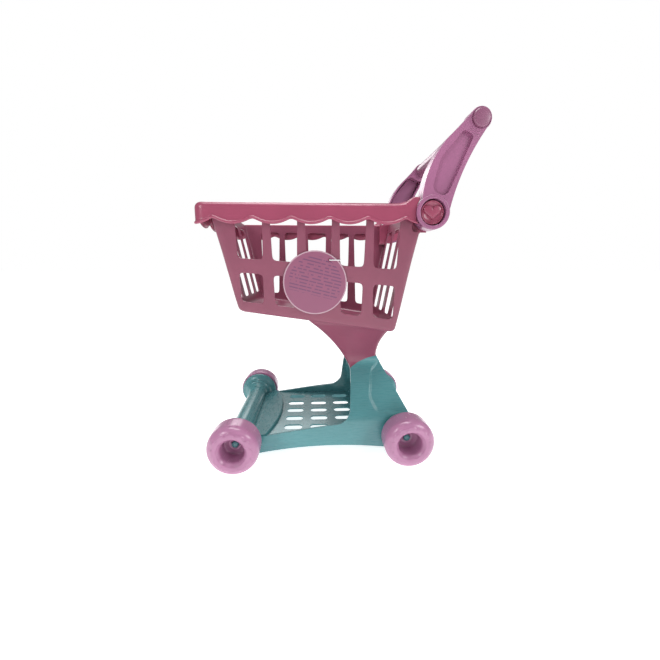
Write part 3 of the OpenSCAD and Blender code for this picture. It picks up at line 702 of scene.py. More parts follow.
# ---- flanks, shared by the neck and the base

WAIST_Z = 140
WAIST_FRONT = Vector((28, WAIST_Z))
WAIST_REAR = Vector((74, WAIST_Z + 21))
WAIST_HALF_W = 50
FOOT_HALF_W = 104
KNEE = Vector((100, 62))
BASE_SAG = 6.5
NECK_SAG = 4
NECK_FRONT_Y = -44
NECK_FRONT_BOW = -6.3
NECK_REAR_BOW = 5
NECK_HEEL_IN = 4
NECK_STEPS = 40
JOINT_SAG = 4.4


def on_bow(p, q, sag, z):
    """x of a shallow arc from p to q, given as points [x, z], at height z."""
    along = (q - p).normalized()
    left = Vector((-along.y, along.x))
    low, high = 0.0, 1.0
    for _ in range(24):
        t = (low + high) / 2
        if p.y + (q.y - p.y) * t + left.y * sag * 4 * t * (1 - t) < z:
            low = t
        else:
            high = t
    return p.x + (q.x - p.x) * t + left.x * sag * 4 * t * (1 - t)


def raw_flank(z):
    waist_low, waist_high = Vector((WAIST_HALF_W, WAIST_Z + 6)), Vector((WAIST_HALF_W, WAIST_Z + 16))
    neck_top = Vector((side_x(BOTTOM_LEVEL) - 3, BOTTOM_LEVEL))
    if z < KNEE.y:
        return lerp(FOOT_HALF_W, KNEE.x, z / KNEE.y)
    if z < waist_low.y:
        return on_bow(KNEE, waist_low, -BASE_SAG, z)
    if z < waist_high.y:
        return WAIST_HALF_W
    if z < neck_top.y:
        return on_bow(waist_high, neck_top, NECK_SAG, z)
    return neck_top.x + (z - neck_top.y) * SIDE_LEAN


def flank(z):
    """Half width of the cart at height z, from the floor to the basket, without a kink."""
    return (raw_flank(z - 7) + 2 * raw_flank(z) + raw_flank(z + 7)) / 4


# ---- neck


def make_neck(sizes):
    bm = bmesh.new()
    toe = (NECK_FRONT_Y, bottom_z(NECK_FRONT_Y))
    heel = (rear_y(TUB_LOW.z) - NECK_HEEL_IN, TUB_LOW.z)
    front_edge = bow(WAIST_FRONT, toe, NECK_FRONT_BOW, NECK_STEPS)
    rear_edge = bow(WAIST_REAR, heel, NECK_REAR_BOW, NECK_STEPS)
    levels = (0, 0.03, 0.12, 0.25, 0.4, 0.55, 0.7, 0.85, 0.95, 1, 1.02)
    d = 9
    ring = [(0, 0, 0), (0, 0.5, 0), (0, 1, -1), (0, 1, 0), (1, 1, 0), (0.33, 1, 0), (0.67, 1, 0), (2, 1, 0)]
    ring += [(3, 1, 0), (3, 1, -1), (3, 0.5, 0), (3, 0, 0)]

    def at(edge, t):
        k = min(t, 1) * NECK_STEPS
        i = min(int(k), NECK_STEPS - 1)
        return edge[i].lerp(edge[i + 1], k - i)

    def ring_point(k, t):
        mark, across, inset = ring[k]
        p, q = at(front_edge, t), at(rear_edge, t)
        step = d / (q - p).length
        u = {0: 0, 1: step, 2: 1 - step, 3: 1}.get(mark, mark)
        point = p.lerp(q, u)
        z = point.y + JOINT_SAG * 4 * u * (1 - u) * max(1 - t * 5, 0) + max(t - 1, 0) * 120
        half = flank(z)
        return Vector((half * across + inset * d, point.x, z))

    count = len(ring)
    total = 2 * (count - 1)

    def neck_place(i, j):
        k = i if i < count else total - i
        point = ring_point(k, levels[j])
        if i >= count:
            point.x = -point.x
        return point

    patch(bm, total, len(levels) - 1, neck_place)
    return piece(
        "basket_neck_shell", bm, "cart", "basket_plastic", ["basket_neck"],
        subdivide=2, wall=sizes.wall / MM, bevel=0.6, segments=2, angle=50,
    )


# ---- base

FRONT_AXLE = joint_mm("wheel_front_right_spin")
REAR_AXLE = joint_mm("wheel_rear_right_spin")
REAR_EDGE = Vector((REAR_AXLE.y + 10, 70))
RAIL_FRONT_Z = 34
RAIL_FILLET = 25
TRAY_Z = 39
DECK_Z = 46
STEP_Y = -98
STEP_R = 285
SLOTS_Y = -27
SLOT_PITCH_X = 34.5
SLOT_PITCH_Y = 45.5


def recess_outline():
    """Rounded recess low on the post, open towards the rear."""
    front, rear = WAIST_FRONT.x, REAR_EDGE.x
    top, foot = WAIST_REAR.y - 9, 74
    points = [(WAIST_REAR.x + 3, top), (front + 34, WAIST_Z - 4), (front + 29, WAIST_Z - 42)]
    points += [(front + 41, foot), (rear - 14, foot - 2), (rear + 30, foot), (rear + 30, top)]
    return rounded(points, [0, 16, 14, 16, 0, 0, 0], 10)


def along(points, t):
    """Point at share t of an open line's length."""
    lengths = [(points[i + 1] - points[i]).length for i in range(len(points) - 1)]
    left = t * sum(lengths)
    for i, part in enumerate(lengths):
        if left <= part or i == len(lengths) - 1:
            return points[i].lerp(points[i + 1], min(left / part, 1))
        left -= part


def depth_inside(point, loop):
    """Distance of a point from an outline: positive inside it, negative outside."""
    nearest, inside = 1e9, False
    for i in range(len(loop)):
        a, b = loop[i - 1], loop[i]
        edge = b - a
        t = min(max((point - a).dot(edge) / edge.length_squared, 0), 1)
        nearest = min(nearest, (point - a - edge * t).length)
        if (a.y > point.y) != (b.y > point.y) and point.x < a.x + (point.y - a.y) * edge.x / edge.y:
            inside = not inside
    return nearest if inside else -nearest


def make_side_panel(name, side, sizes):
    """A strip that runs along the rail and bends up the post, with the recess pressed into it."""
    bm = bmesh.new()
    foot = Vector((FRONT_AXLE.y + 2, 5))
    rail_end, post_foot = Vector((WAIST_FRONT.x - 63, 52)), Vector((WAIST_FRONT.x - 5, 59))
    bend = corner(WAIST_FRONT, post_foot, rail_end, RAIL_FILLET, 16)[::-1]
    heel = rounded([(REAR_AXLE.y - 10, 8), (REAR_EDGE.x + 6, 20), REAR_EDGE], [0, 9, 0])
    arch = bow(foot, (REAR_EDGE.x - 40, 16), 10, 24)
    tops = [[Vector((foot.x, RAIL_FRONT_Z)), rail_end, bend[0]], bend, [bend[-1], WAIST_FRONT]]
    feet = [arch, [arch[-1]] + heel, [REAR_EDGE, WAIST_REAR]]
    runs, across, lip = (84, 40, 56), 60, 1.9
    recess = recess_outline()

    def panel_place(i, j):
        part = 0
        while i > runs[part]:
            i -= runs[part]
            part += 1
        t = i / runs[part]
        p, q = along(tops[part], t), along(feet[part], t)
        edge = lip / (q - p).length
        v = {0: 0, across: 1}.get(j, lerp(edge, 1 - edge, (j - 1) / (across - 2)))
        y, z = p.lerp(q, v)
        if part == 2:
            z += JOINT_SAG * 4 * v * (1 - v) * t**3
            y -= JOINT_SAG * 1.8 * v * (1 - v) * t**3
        pressed = smooth((depth_inside(Vector((y, z)), recess) + 0.4) / sizes.recess_edge * MM)
        return side * (flank(z) - pressed * sizes.recess / MM), y, z

    patch(bm, sum(runs), across, panel_place)
    turn_outward(bm)
    if sum(face.normal.x for face in bm.faces) * side < 0:
        bmesh.ops.reverse_faces(bm, faces=bm.faces[:])
    return piece(
        f"{name}_shell", bm, "cart", "base_plastic", [name],
        wall=4, bevel=sizes.edge_round / MM, segments=3, angle=50, fixed=True,
    )


def make_tray(sizes):
    """Sunken floor with its slots, and the sloping front deck that steps down to it."""
    bm = bmesh.new()
    end_y = 58
    half = flank(TRAY_Z) - 3.6
    side_dy = STEP_R - math.sqrt(STEP_R**2 - half**2)
    step = bow((half, STEP_Y - side_dy), (-half, STEP_Y - side_dy), -side_dy, 28)
    loops = [step + [Vector((-half, end_y)), Vector((half, end_y))]]
    w, l = sizes.slot_w / MM / 2, sizes.slot_l / MM / 2
    for column in (-1, 0, 1):
        for row in (-2, -1, 0, 1, 2):
            x, y = row * SLOT_PITCH_X, SLOTS_Y + column * SLOT_PITCH_Y
            slot = rectangle((x - w, y - l), (x + w, y + l))
            loops.append(rounded(slot, [w * 0.8] * 4, 8))
    sheet_of(bm, loops, lambda inside: inside == {0}, lambda x, y: (x, y, TRAY_Z - WALL))
    merge_flat(bm)
    raise_faces(bm, bm.faces[:], (0, 0, WALL))
    floor = piece("base_tray_floor", bm, "cart", "base_plastic", bevel=0.7, segments=2)

    bm = bmesh.new()
    slope = (DECK_Z - RAIL_FRONT_Z) / (STEP_Y - FRONT_AXLE.y)

    def deck_place(i, j):
        x = lerp(-half - 1, half + 1, i / 32)
        edge = STEP_Y - STEP_R + math.sqrt(STEP_R**2 - min(abs(x), half) ** 2)
        top = RAIL_FRONT_Z + (edge - FRONT_AXLE.y) * slope
        if j <= 6:
            y = lerp(FRONT_AXLE.y, edge - 2.5, j / 6)
            return x, y, RAIL_FRONT_Z + (y - FRONT_AXLE.y) * slope
        down = ((-1.2, -0.15), (-0.35, -0.8), (0, -2), (0, TRAY_Z - 2 - top))[j - 7]
        return x, edge + down[0], top + down[1]

    patch(bm, 32, 10, deck_place)
    deck = piece("base_tray_deck", bm, "cart", "base_plastic", ["base_tray"], wall=WALL, bevel=0.4)
    return floor, deck


def make_post():
    """Walls between the side panels: the bowed front one that rises from the tray, and the rear one."""
    bm = bmesh.new()
    front = corner((30, TRAY_Z), (58, TRAY_Z), (43, 118), 14, 8)
    front += bow(front[-1], (42, 118), 2.5, 8)[1:] + [Vector((33, 133)), Vector((29.5, 139))]

    def front_place(i, j):
        y, z = front[j]
        t = lerp(-1, 1, i / 24)
        cove = 9 * max(abs(t) - 0.9, 0) / 0.1 * smooth((z - TRAY_Z) / 30) * smooth((140 - z) / 30)
        return (flank(z) - 3) * t, y - cove, z + 0.15

    patch(bm, 24, len(front) - 1, front_place)
    rear = [Vector((REAR_EDGE.x, 30)), Vector((REAR_EDGE.x, 50))]
    rear += corner((REAR_EDGE.x, 50), REAR_EDGE, WAIST_REAR, 16, 6)
    rear += [REAR_EDGE.lerp(WAIST_REAR, t) for t in (0.3, 0.45, 0.6, 0.75, 0.88, 0.985)]

    def rear_place(i, j):
        y, z = rear[j]
        return (flank(z) - 2.5) * lerp(-1, 1, i / 24), y - 1, z

    patch(bm, 24, len(rear) - 1, rear_place)
    return piece(
        "base_post_shell", bm, "cart", "base_plastic", ["base_post"], wall=2.2, bevel=0.4,
    )


# Radius of the tube and how far back from the cup's face it has it
CUP_PROFILE = (
    (17.5, 30), (17.7, 27), (18.5, 23.5), (20.2, 20), (22.6, 17.4), (24.2, 16.6), (25.1, 16),
    (25.4, 15), (25.5, 13.6), (26.4, 11.2), (28.4, 8.8), (31, 7), (33.6, 6), (34.7, 5.6),
    (35.6, 5.4), (36.5, 4.9), (37, 4), (37, 0.8), (36.7, 0.2), (36, 0),
)


def make_turned(name, profile, centre, steps, *finish, **more):
    """A piece that is only a spun profile."""
    bm = bmesh.new()
    spun(bm, profile, centre, steps)
    return piece(f"{name}_shell", bm, *finish, [name], **more)


def make_axle_tube(name, axle):
    """Tube that flares like a trumpet into a double-ringed cup at each end."""
    cup_x = box_mm(name)[1].x
    half = [(17.5, 0)] + [(r, cup_x - back) for r, back in CUP_PROFILE] + [(0, cup_x)]
    profile = [(r, -x) for r, x in half[:0:-1]] + half[1:]
    return make_turned(name, profile, axle.yz, 112, "cart", "base_plastic", bevel=0.3, segments=2)


# ---- wheels


def round_node(name):
    """Nearest and farthest x of a round node on an axle, its centre as [y, z], and its radius."""
    low, high = box_mm(name)
    inner, outer = sorted((abs(low.x), abs(high.x)))
    return inner, outer, ((low + high) / 2).yz, (high.z - low.z) / 2


def make_wheel(name, side, sizes):
    inner, outer, centre, radius = round_node(name)
    width, tread, hub, lip = outer - inner, 13.4, 18.4, 8
    profile = [(4.05, 5), (20.5, 5), (20.5, 0.8), (21.2, 0), (radius - 2.2, 0)]
    profile += arc((radius - 2.2, 2.2), 2.2, -90, 0, 5)[1:]
    profile += [(radius, 8), (radius, 16)]
    profile += arc((radius - tread, width - tread), tread, 0, 90, 26)
    profile += arc((hub + lip, width - lip), lip, 90, 180, 16)
    profile += [(hub - 0.3, 24), (hub - 0.6, 14), (hub - 0.8, 11.4), (hub - 1.3, 10.4), (hub - 2.4, 10)]
    profile += [(11, 10), (9.6, 10.5), (8.4, 10.5), (7.6, 10), (4.05, 10)]
    bm = bmesh.new()
    spun(bm, [(r, inner + x) for r, x in profile], centre, 192, closed=True)
    bmesh.ops.remove_doubles(bm, verts=bm.verts[:], dist=0.002)
    turn_outward(bm)
    bm.normal_update()
    petals, height = sizes.petals, sizes.petal_height / MM
    pushes = []
    for vert in bm.verts:
        out = vert.co - Vector((vert.co.x, centre.x, centre.y))
        reach = out.length
        if vert.co.x < inner + 22 or reach < hub + 3:
            continue
        turn = math.atan2(out.y, out.z)
        edge = 28.6 + 4 * abs(math.cos(turn * petals / 2)) ** 0.7
        raised = smooth((edge - reach) / 1.2) * smooth((reach - hub - 3.6) / 1.4)
        pushes.append((vert, vert.normal * height * raised))
    for vert, push in pushes:
        vert.co += push
    return piece(f"{name}_shell", bm, name, "wheel_plastic", [name], side=side)


def make_pin(node, side):
    inner, outer, centre, r = round_node(node)
    profile = [(0, inner), (4, inner), (4, outer - 3.4), (r - 0.4, outer - 3.4), (r, outer - 3)]
    profile += [(r * math.cos(a), outer - 2.6 + 2.6 * math.sin(a)) for a in (0.15, 0.4, 0.7, 1, 1.3)]
    profile += [(0, outer)]
    return make_turned(node, profile, centre, 48, "cart", "base_plastic", side=side)


# ---- handle, laid out along its own length from the pivot

HANDLE_ANGLE = math.radians(64.3)
HANDLE_L = 132.5
ARM_END_R = 14.6


def on_handle(x, s, t):
    """A point x across, s along and t in front of the handle's own line."""
    along, up = math.cos(HANDLE_ANGLE), math.sin(HANDLE_ANGLE)
    return Vector((x, PIVOT.y + s * along - t * up, PIVOT.z + s * up + t * along))


def blade_outline(t=0):
    rear = bow((HANDLE_L, t - ARM_END_R + 0.5), (10, t - 20), -6.5, 20)
    front = bow((8, RING_R - 1.5 - t), (HANDLE_L - 24, 22 - t), 10.6, 20)
    return rear + front + [Vector((HANDLE_L, ARM_END_R - 0.5 - t))]


def pocket_outline(t=0):
    foot, bend, tip = RING_R + 1 - t, HANDLE_L / 2, HANDLE_L - 22 + t
    fronts = [(foot, 16 + t), (bend, 25 + t), (tip, 13.5 + t)]
    rears = [(tip, -2 - t), (bend, -5 - t), (foot, -7 - t)]
    return rounded(fronts + rears, [10, 40, 5, 5, 40, 10], 10)


def cavity_outline(t):
    """The arm's hollow, seen from its inner face, which stops short of the ring and of the grip."""
    low, high = RING_R + 2, HANDLE_L - ARM_END_R - 3
    return [p for p in blade_outline(t)[:-1] if low < p.x < high]


def make_arm(name, side, sizes):
    bm = bmesh.new()
    low, high = ARM_LOW.x, ARM_HIGH.x
    loops = [
        blade_outline(),
        circle((0, 0), RING_R),
        circle((HANDLE_L, 0), ARM_END_R),
        cavity_outline(3),
        pocket_outline(2.6),
        pocket_outline(),
        circle((0, 0), RING_BORE_R),
    ]
    solid = sheet_of(bm, loops, lambda inside: 6 not in inside, lambda s, t: on_handle(low, s, t))
    for face in solid:
        face.material_index = face.material_index if face.material_index >= 3 else 0
    merge_flat(bm)
    base = bm.faces[:]
    top = raise_faces(bm, base, (high - low, 0, 0))
    pocket = [f for f in top if f.material_index == 5]
    raise_faces(bm, pocket, (-sizes.pocket / MM, 0, 0), closed=False)

    def on_inner_face(face):
        return face.material_index >= 3 and all(abs(v.co.x - low) < 0.01 for v in face.verts)

    inner = [f for f in bm.faces if on_inner_face(f)]
    depth = high - low - sizes.pocket / MM - WALL
    hollow = raise_faces(bm, inner, (depth, 0, 0), closed=False)
    channel = [f for f in hollow if f.material_index == 3]
    raise_faces(bm, channel, (sizes.pocket / MM, 0, 0), closed=False)
    blade = piece(
        f"{name}_shell", bm, "handle", "handle_plastic", [name],
        bevel=sizes.arm_round / MM, segments=3, angle=40, side=side,
    )
    return blade, make_arm_lips(name, side)


def make_arm_lips(name, side):
    """Rounded lips round the ring and the grip's cap, and two ribs beside the cap."""
    bm = bmesh.new()
    high = ARM_HIGH.x
    ring = [(RING_R, high - 4)] + arc((RING_R - 1.6, high - 0.9), 1.6, 0, 90, 5)
    ring += arc((RING_BORE_R + 1.4, high - 0.7), 1.4, 90, 180, 5) + [(RING_BORE_R, high - 4)]
    spun(bm, ring, PIVOT.yz, 96, closed=True)
    grip = on_handle(0, HANDLE_L, 0)
    lip = arc((ARM_END_R - 0.9, high), 0.8, 0, 180, 8)
    lip += [(ARM_END_R - 1.7, high - 1), (ARM_END_R - 0.1, high - 1)]
    spun(bm, lip, grip.yz, 72, closed=True)
    for r, spread in ((17.6, 35), (21.4, 27)):
        steps = 16
        first = math.radians(180 - spread)
        path = [first + math.radians(2 * spread) * i / steps for i in range(steps + 1)]

        def rib_place(i, j, r=r, path=path):
            across = math.radians(lerp(0, 180, j / 6))
            reach = r + 0.8 * math.cos(across)
            end = smooth(min(i, steps - i) / 3)
            s, t = HANDLE_L + reach * math.cos(path[i]), reach * math.sin(path[i])
            return on_handle(high - 0.5 + (0.5 + 0.75 * math.sin(across)) * end, s, t)

        patch(bm, steps, 6, rib_place)
    return piece(f"{name}_lips", bm, "handle", "handle_plastic", side=side)


def make_grip():
    grip = on_handle(0, HANDLE_L, 0)
    r, end = (GRIP_HIGH.z - GRIP_LOW.z) / 2, ARM_LOW.x
    half = [(r * 0.93, 0), (r * 0.95, end * 0.3), (r * 0.985, end * 0.6), (r, end * 0.8), (r, end - 3)]
    half += [(r - 0.2, end - 1), (r - 1.2, end - 0.2), (8, end), (8, end + 14), (0, end + 14)]
    profile = [(q, -x) for q, x in half[:0:-1]] + half[1:]
    return make_turned("grip_bar", profile, grip.yz, 64, "handle", "grip_plastic")


def make_grip_cap(name, side):
    grip = on_handle(0, HANDLE_L, 0)
    r, low, high = (CAP_HIGH.z - CAP_LOW.z) / 2, CAP_LOW.x, CAP_HIGH.x
    profile = [(0, low - 1), (r, low - 1), (r, low + 1.5)]
    profile += arc((r - 2.6, high - 2.9), 2.6, 0, 90, 7)
    profile += [(r * 0.6, high - 0.15), (r * 0.3, high), (0, high)]
    return make_turned(name, profile, grip.yz, 64, "handle", "grip_plastic", side=side)


def heart_outline(width, centre):
    """A heart with round lobes and a soft point, as [y, z]."""
    made = []
    for i in range(64):
        a = 2 * math.pi * (i + 0.5) / 64
        y = 16 * math.sin(a) ** 3
        z = 13 * math.cos(a) - 5 * math.cos(2 * a) - 2 * math.cos(3 * a) - math.cos(4 * a)
        made.append(Vector((y, (z + 2.2) * 0.87)) * width / 32 + centre)
    return made


# Share of the heart's outline and height above its foot
HEART_DOME = (
    (1, -1), (1, 0.5), (0.985, 1.1), (0.94, 1.7), (0.86, 2.1), (0.72, 2.4), (0.5, 2.6), (0.25, 2.7),
    (0, 2.72),
)


def make_heart_cap(name, side, sizes):
    """Round cap with a lipped edge and a raised heart, which stays upright."""
    bm = bmesh.new()
    r, face = (HEART_HIGH.z - HEART_LOW.z) / 2, HEART_HIGH.x - 1.5
    profile = [(0, face - 8), (r, face - 8), (r, face - 1)] + arc((r - 1, face - 0.4), 1, 0, 180, 8)
    profile += [(r - 2.3, face - 1), (r * 0.5, face - 0.9), (0, face - 0.9)]
    spun(bm, profile, PIVOT.yz, 72)
    middle = PIVOT.yz
    loop = heart_outline(sizes.heart_w / MM, middle)

    def heart_place(i, j):
        share, up = HEART_DOME[j]
        p = middle + (loop[i % len(loop)] - middle) * share
        return face - 0.9 + up, p.x, p.y

    patch(bm, len(loop), len(HEART_DOME) - 1, heart_place)
    return piece(f"{name}_shell", bm, "cart", "rim_plastic", [name], side=side)


# ---- hang tag, in a frame that starts at the hook and leans with the wall

WALL_LEAN = Matrix.Rotation(math.radians(5), 3, "Y")
TAG_R = 47
TAG_LEAN = math.radians(33)
TAG_REACH = TAG_R - 7.3
TAG_TEXT_TILT = -14
TIE_SPAN = 16.87
TIE_R = 0.7


def on_wall(x, y, z):
    return HOOK + WALL_LEAN @ Vector((x, y, z))


TAG_CENTRE = on_wall(2, -TAG_REACH * math.sin(TAG_LEAN), -TAG_REACH * math.cos(TAG_LEAN))


def make_tag():
    bm = bmesh.new()
    middle = (-TAG_REACH * math.sin(TAG_LEAN), -TAG_REACH * math.cos(TAG_LEAN))
    loops = [circle(middle, TAG_R, 144), circle((0, 0), 2.4, 32)]
    sheet_of(bm, loops, lambda inside: inside == {0}, lambda y, z: on_wall(1.5, y, z))
    merge_flat(bm)
    raise_faces(bm, bm.faces[:], WALL_LEAN @ Vector((1, 0, 0)))
    return piece("hang_tag_card", bm, "tag", "tag_card", ["hang_tag"], bevel=0.25, segments=2)


def make_tie():
    """Thin moulded tie that loops round a rib and through the tag's hole."""
    loop = rounded(rectangle((-3.8, 0), (3.7, TIE_SPAN)), [1.2] * 4, 5)
    bm = bmesh.new()
    count = len(loop)

    def tie_place(i, j):
        p, ahead, behind = loop[i % count], loop[(i + 1) % count], loop[i - 1 if i else count - 1]
        along = (ahead - behind).normalized()
        out = Vector((along.y, -along.x))
        a = 2 * math.pi * j / 10
        return on_wall(*(p + out * TIE_R * math.cos(a)), TIE_R * math.sin(a))

    patch(bm, count, 10, tie_place)
    return piece("tag_tie_loop", bm, "cart", "tie_plastic", ["tag_tie"])


# ---- sizes and colours that a user would change


def length(name, description, default):
    return bpy.props.FloatProperty(
        name=name, description=description, default=default, min=0, unit="LENGTH"
    )


def colour(name, default):
    return bpy.props.FloatVectorProperty(
        name=name, description=f"Colour of the {name.lower()}", default=default, size=3,
        subtype="COLOR", min=0, max=1,
    )


class CartSizes(bpy.types.PropertyGroup):
    """Sizes of the cart's details."""

    wall: length("Wall", "Thickness of the moulded walls", 0.0026)
    window_round: length("Window Corners", "Radius of the windows' corners", 0.006)
    shoulder: length("Rim Shoulder", "Rounding of the rim's top edge", 0.008)
    bead: length("Rim Bead", "Height of the bead along the scallops", 0.0018)
    recess: length("Panel Recess", "Depth of the recess in each side panel", 0.0024)
    recess_edge: length("Recess Edge", "Width of the slope round each recess", 0.0036)
    edge_round: length("Base Edges", "Rounding of the side panels' edges", 0.0014)
    slot_w: length("Slot Width", "Width of the tray's slots", 0.016)
    slot_l: length("Slot Length", "Length of the tray's slots", 0.031)
    petals: bpy.props.IntProperty(
        name="Petals", description="Petals embossed round a wheel", default=12, min=3
    )
    petal_height: length("Petal Height", "Height of the embossed petals", 0.0009)
    pocket: length("Arm Pocket", "Depth of the pocket in an arm's outer face", 0.005)
    arm_round: length("Arm Edges", "Rounding of the arms' edges", 0.0012)
    heart_w: length("Heart Width", "Width of the raised heart", 0.026)


class CartColours(bpy.types.PropertyGroup):
    """Colours of the cart's mouldings."""

    rim: colour("Rim", (0.31, 0.056, 0.11))
    basket: colour("Basket", (0.23, 0.05, 0.095))
    handle: colour("Handle", (0.32, 0.112, 0.22))
    grip: colour("Grip", (0.235, 0.078, 0.15))
    wheels: colour("Wheels", (0.43, 0.19, 0.33))
    base: colour("Base", (0.08, 0.26, 0.28))
    card: colour("Card", (0.25, 0.065, 0.135))
    ink: colour("Ink", (0.10, 0.03, 0.10))
    tie: colour("Tie", (0.85, 0.85, 0.87))


def material_of(slot):
    """The material for a slot, made on first use from the scene's colours."""
    name = f"moulded_{slot}"
    found = bpy.data.materials.get(name)
    if found:
        return found
    colours = bpy.context.scene.cart_colours
    if slot == "tag_card":
        return printed_card(name, colours.card, colours.ink)
    looks = {
        "rim_plastic": (colours.rim, 0.30, 0.06),
        "basket_plastic": (colours.basket, 0.34, 0.08),
        "handle_plastic": (colours.handle, 0.32, 0.07),
        "grip_plastic": (colours.grip, 0.34, 0.07),
        "wheel_plastic": (colours.wheels, 0.26, 0.05),
        "base_plastic": (colours.base, 0.28, 0.06),
        "tie_plastic": (colours.tie, 0.4, 0.03),
    }
    return plastic(name, *looks[slot])


# ---- operators


class CART_OT_basket(bpy.types.Operator):
    """Build the windowed basket and the neck below it"""

    bl_idname = "cart.basket"
    bl_label = "Basket and Neck"

    def execute(self, context):
        sizes = context.scene.cart_sizes
        make_tub(sizes)
        make_neck(sizes)
        return {"FINISHED"}


class CART_OT_rim(bpy.types.Operator):
    """Build the scalloped rim and the pockets for the handle's rings"""

    bl_idname = "cart.rim"
    bl_label = "Rim"

    def execute(self, context):
        make_rim(context.scene.cart_sizes)
        make_pockets()
        return {"FINISHED"}


class CART_OT_base(bpy.types.Operator):
    """Build the side panels, the tray, the post and the axle tubes"""

    bl_idname = "cart.base"
    bl_label = "Base"

    def execute(self, context):
        sizes = context.scene.cart_sizes
        make_side_panel("base_side_right", 1, sizes)
        make_side_panel("base_side_left", -1, sizes)
        make_tray(sizes)
        make_post()
        make_axle_tube("front_axle_tube", FRONT_AXLE)
        make_axle_tube("rear_axle_tube", REAR_AXLE)
        return {"FINISHED"}


class CART_OT_wheels(bpy.types.Operator):
    """Build the four wheels and the pins that hold them"""

    bl_idname = "cart.wheels"
    bl_label = "Wheels"

    def execute(self, context):
        sizes = context.scene.cart_sizes
        for end in ("front", "rear"):
            for hand, side in (("left", -1), ("right", 1)):
                make_wheel(f"wheel_{end}_{hand}", side, sizes)
                make_pin(f"wheel_pin_{end}_{hand}", side)
        return {"FINISHED"}


class CART_OT_handle(bpy.types.Operator):
    """Build the arms, the grip with its caps, and the heart caps on the pivots"""

    bl_idname = "cart.handle"
    bl_label = "Handle"

    def execute(self, context):
        sizes = context.scene.cart_sizes
        make_grip()
        for hand, side in (("right", 1), ("left", -1)):
            make_arm(f"handle_arm_{hand}", side, sizes)
            make_grip_cap(f"grip_cap_{hand}", side)
            make_heart_cap(f"heart_cap_{hand}", side, sizes)
        return {"FINISHED"}


class CART_OT_tag(bpy.types.Operator):
    """Build the round hang tag and its tie"""

    bl_idname = "cart.tag"
    bl_label = "Hang Tag"

    def execute(self, context):
        make_tag()
        make_tie()
        return {"FINISHED"}


def lit_paper(name):
    """White paper with light of its own, so that the floor and the backdrop meet without a line."""
    white = (1, 1, 1, 1)
    made, _, _ = new_material(
        name, Base_Color=(0.8, 0.8, 0.8, 1), Roughness=0.8, Specular_IOR_Level=0.1,
        Emission_Color=white, Emission_Strength=0.8,
    )
    return made


# Place, aim, width and height in metres, and power in watts
SOFTBOXES = (
    ("overhead_softbox", (0.15, -0.1, 1.7), (0, 0, 0.25), (1.1, 0.7), 17),
    ("front_softbox", (1.3, -1.2, 1.0), (0, -0.05, 0.2), (0.5, 0.5), 7),
    ("rear_softbox", (1.1, 1.3, 0.9), (0, 0.1, 0.25), (0.8, 0.5), 9),
    ("far_softbox", (-1.4, -0.3, 1.2), (0, 0, 0.25), (0.8, 0.8), 7),
)
CAMERA_PLACE = (0.6014, -0.0337, 0.3117)
CAMERA_VIEW = (-0.9814, 0.0471, -0.1859)
CAMERA_LENS = 17.78


def softbox(name, place, aim, size, power):
    """A rectangular soft light that is turned towards a point."""
    lamp = bpy.data.lights.new(name, "AREA")
    lamp.shape = "RECTANGLE"
    lamp.size, lamp.size_y = size
    lamp.energy = power
    made = bpy.data.objects.new(name, lamp)
    made.location = place
    made.rotation_mode = "QUATERNION"
    made.rotation_quaternion = (Vector(aim) - Vector(place)).to_track_quat("-Z", "Y")
    bpy.context.scene.collection.objects.link(made)


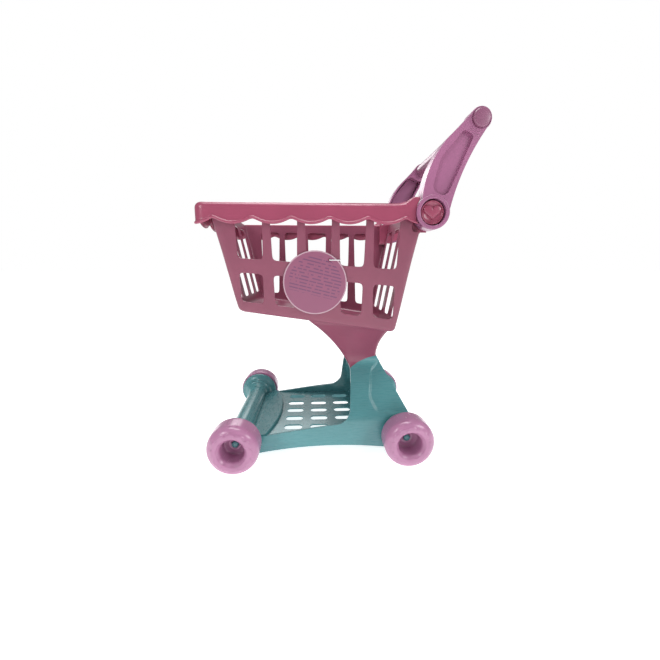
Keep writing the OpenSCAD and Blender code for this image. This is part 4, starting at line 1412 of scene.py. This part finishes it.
class CART_OT_stage(bpy.types.Operator):
    """Set up the pale floor, the soft studio light and the camera"""

    bl_idname = "cart.stage"
    bl_label = "Stage"

    def execute(self, context):
        bm = bmesh.new()
        bmesh.ops.create_grid(bm, x_segments=1, y_segments=1, size=30)
        mesh = bpy.data.meshes.new("studio_floor")
        bm.to_mesh(mesh)
        bm.free()
        floor = bpy.data.objects.new("studio_floor", mesh)
        mesh.materials.append(lit_paper("floor_paper"))
        context.scene.collection.objects.link(floor)

        world = bpy.data.worlds.new("studio_air")
        world.use_nodes = True
        tree = world.node_tree
        air = tree.nodes["Background"]
        feed(tree, air.inputs["Color"], (1, 1, 1, 1))
        feed(tree, air.inputs["Strength"], 0.32)
        backdrop = shader_node(tree, "Background", Color=(1, 1, 1, 1))
        seen = tree.nodes.new("ShaderNodeLightPath")
        mix = shader_node(tree, "MixShader", Fac=seen.outputs["Is Camera Ray"])
        feed(tree, mix.inputs[1], air.outputs["Background"])
        feed(tree, mix.inputs[2], backdrop.outputs["Background"])
        feed(tree, tree.nodes["World Output"].inputs["Surface"], mix.outputs["Shader"])
        context.scene.world = world

        for box in SOFTBOXES:
            softbox(*box)

        camera = bpy.data.objects.new("camera", bpy.data.cameras.new("camera"))
        camera.data.sensor_width = 36
        camera.data.lens = CAMERA_LENS
        camera.data.clip_start = 0.01
        camera.location = CAMERA_PLACE
        camera.rotation_mode = "QUATERNION"
        camera.rotation_quaternion = Vector(CAMERA_VIEW).to_track_quat("-Z", "Y")
        context.scene.collection.objects.link(camera)
        context.scene.camera = camera
        context.scene.view_settings.view_transform = "Standard"
        return {"FINISHED"}


class CART_PT_panel(bpy.types.Panel):
    """Sizes, colours and builders of the toy shopping cart"""

    bl_label = "Toy Shopping Cart"
    bl_idname = "CART_PT_panel"
    bl_space_type = "VIEW_3D"
    bl_region_type = "UI"
    bl_category = "Cart"

    def draw(self, context):
        for group in (context.scene.cart_sizes, context.scene.cart_colours):
            column = self.layout.column(align=True)
            for name in group.__annotations__:
                column.prop(group, name)
        for builder in BUILDERS:
            self.layout.operator(builder.bl_idname)


BUILDERS = (
    CART_OT_stage,
    CART_OT_basket,
    CART_OT_rim,
    CART_OT_base,
    CART_OT_wheels,
    CART_OT_handle,
    CART_OT_tag,
)
CLASSES = (CartSizes, CartColours, *BUILDERS, CART_PT_panel)


def register():
    for cls in CLASSES:
        bpy.utils.register_class(cls)
    bpy.types.Scene.cart_sizes = bpy.props.PointerProperty(type=CartSizes)
    bpy.types.Scene.cart_colours = bpy.props.PointerProperty(type=CartColours)


def unregister():
    del bpy.types.Scene.cart_colours
    del bpy.types.Scene.cart_sizes
    for cls in reversed(CLASSES):
        bpy.utils.unregister_class(cls)


def main():
    register()
    bpy.ops.cart.stage()
    bpy.ops.cart.basket()
    bpy.ops.cart.rim()
    bpy.ops.cart.base()
    bpy.ops.cart.wheels()
    bpy.ops.cart.handle()
    bpy.ops.cart.tag()


if __name__ == "__main__":
    main()
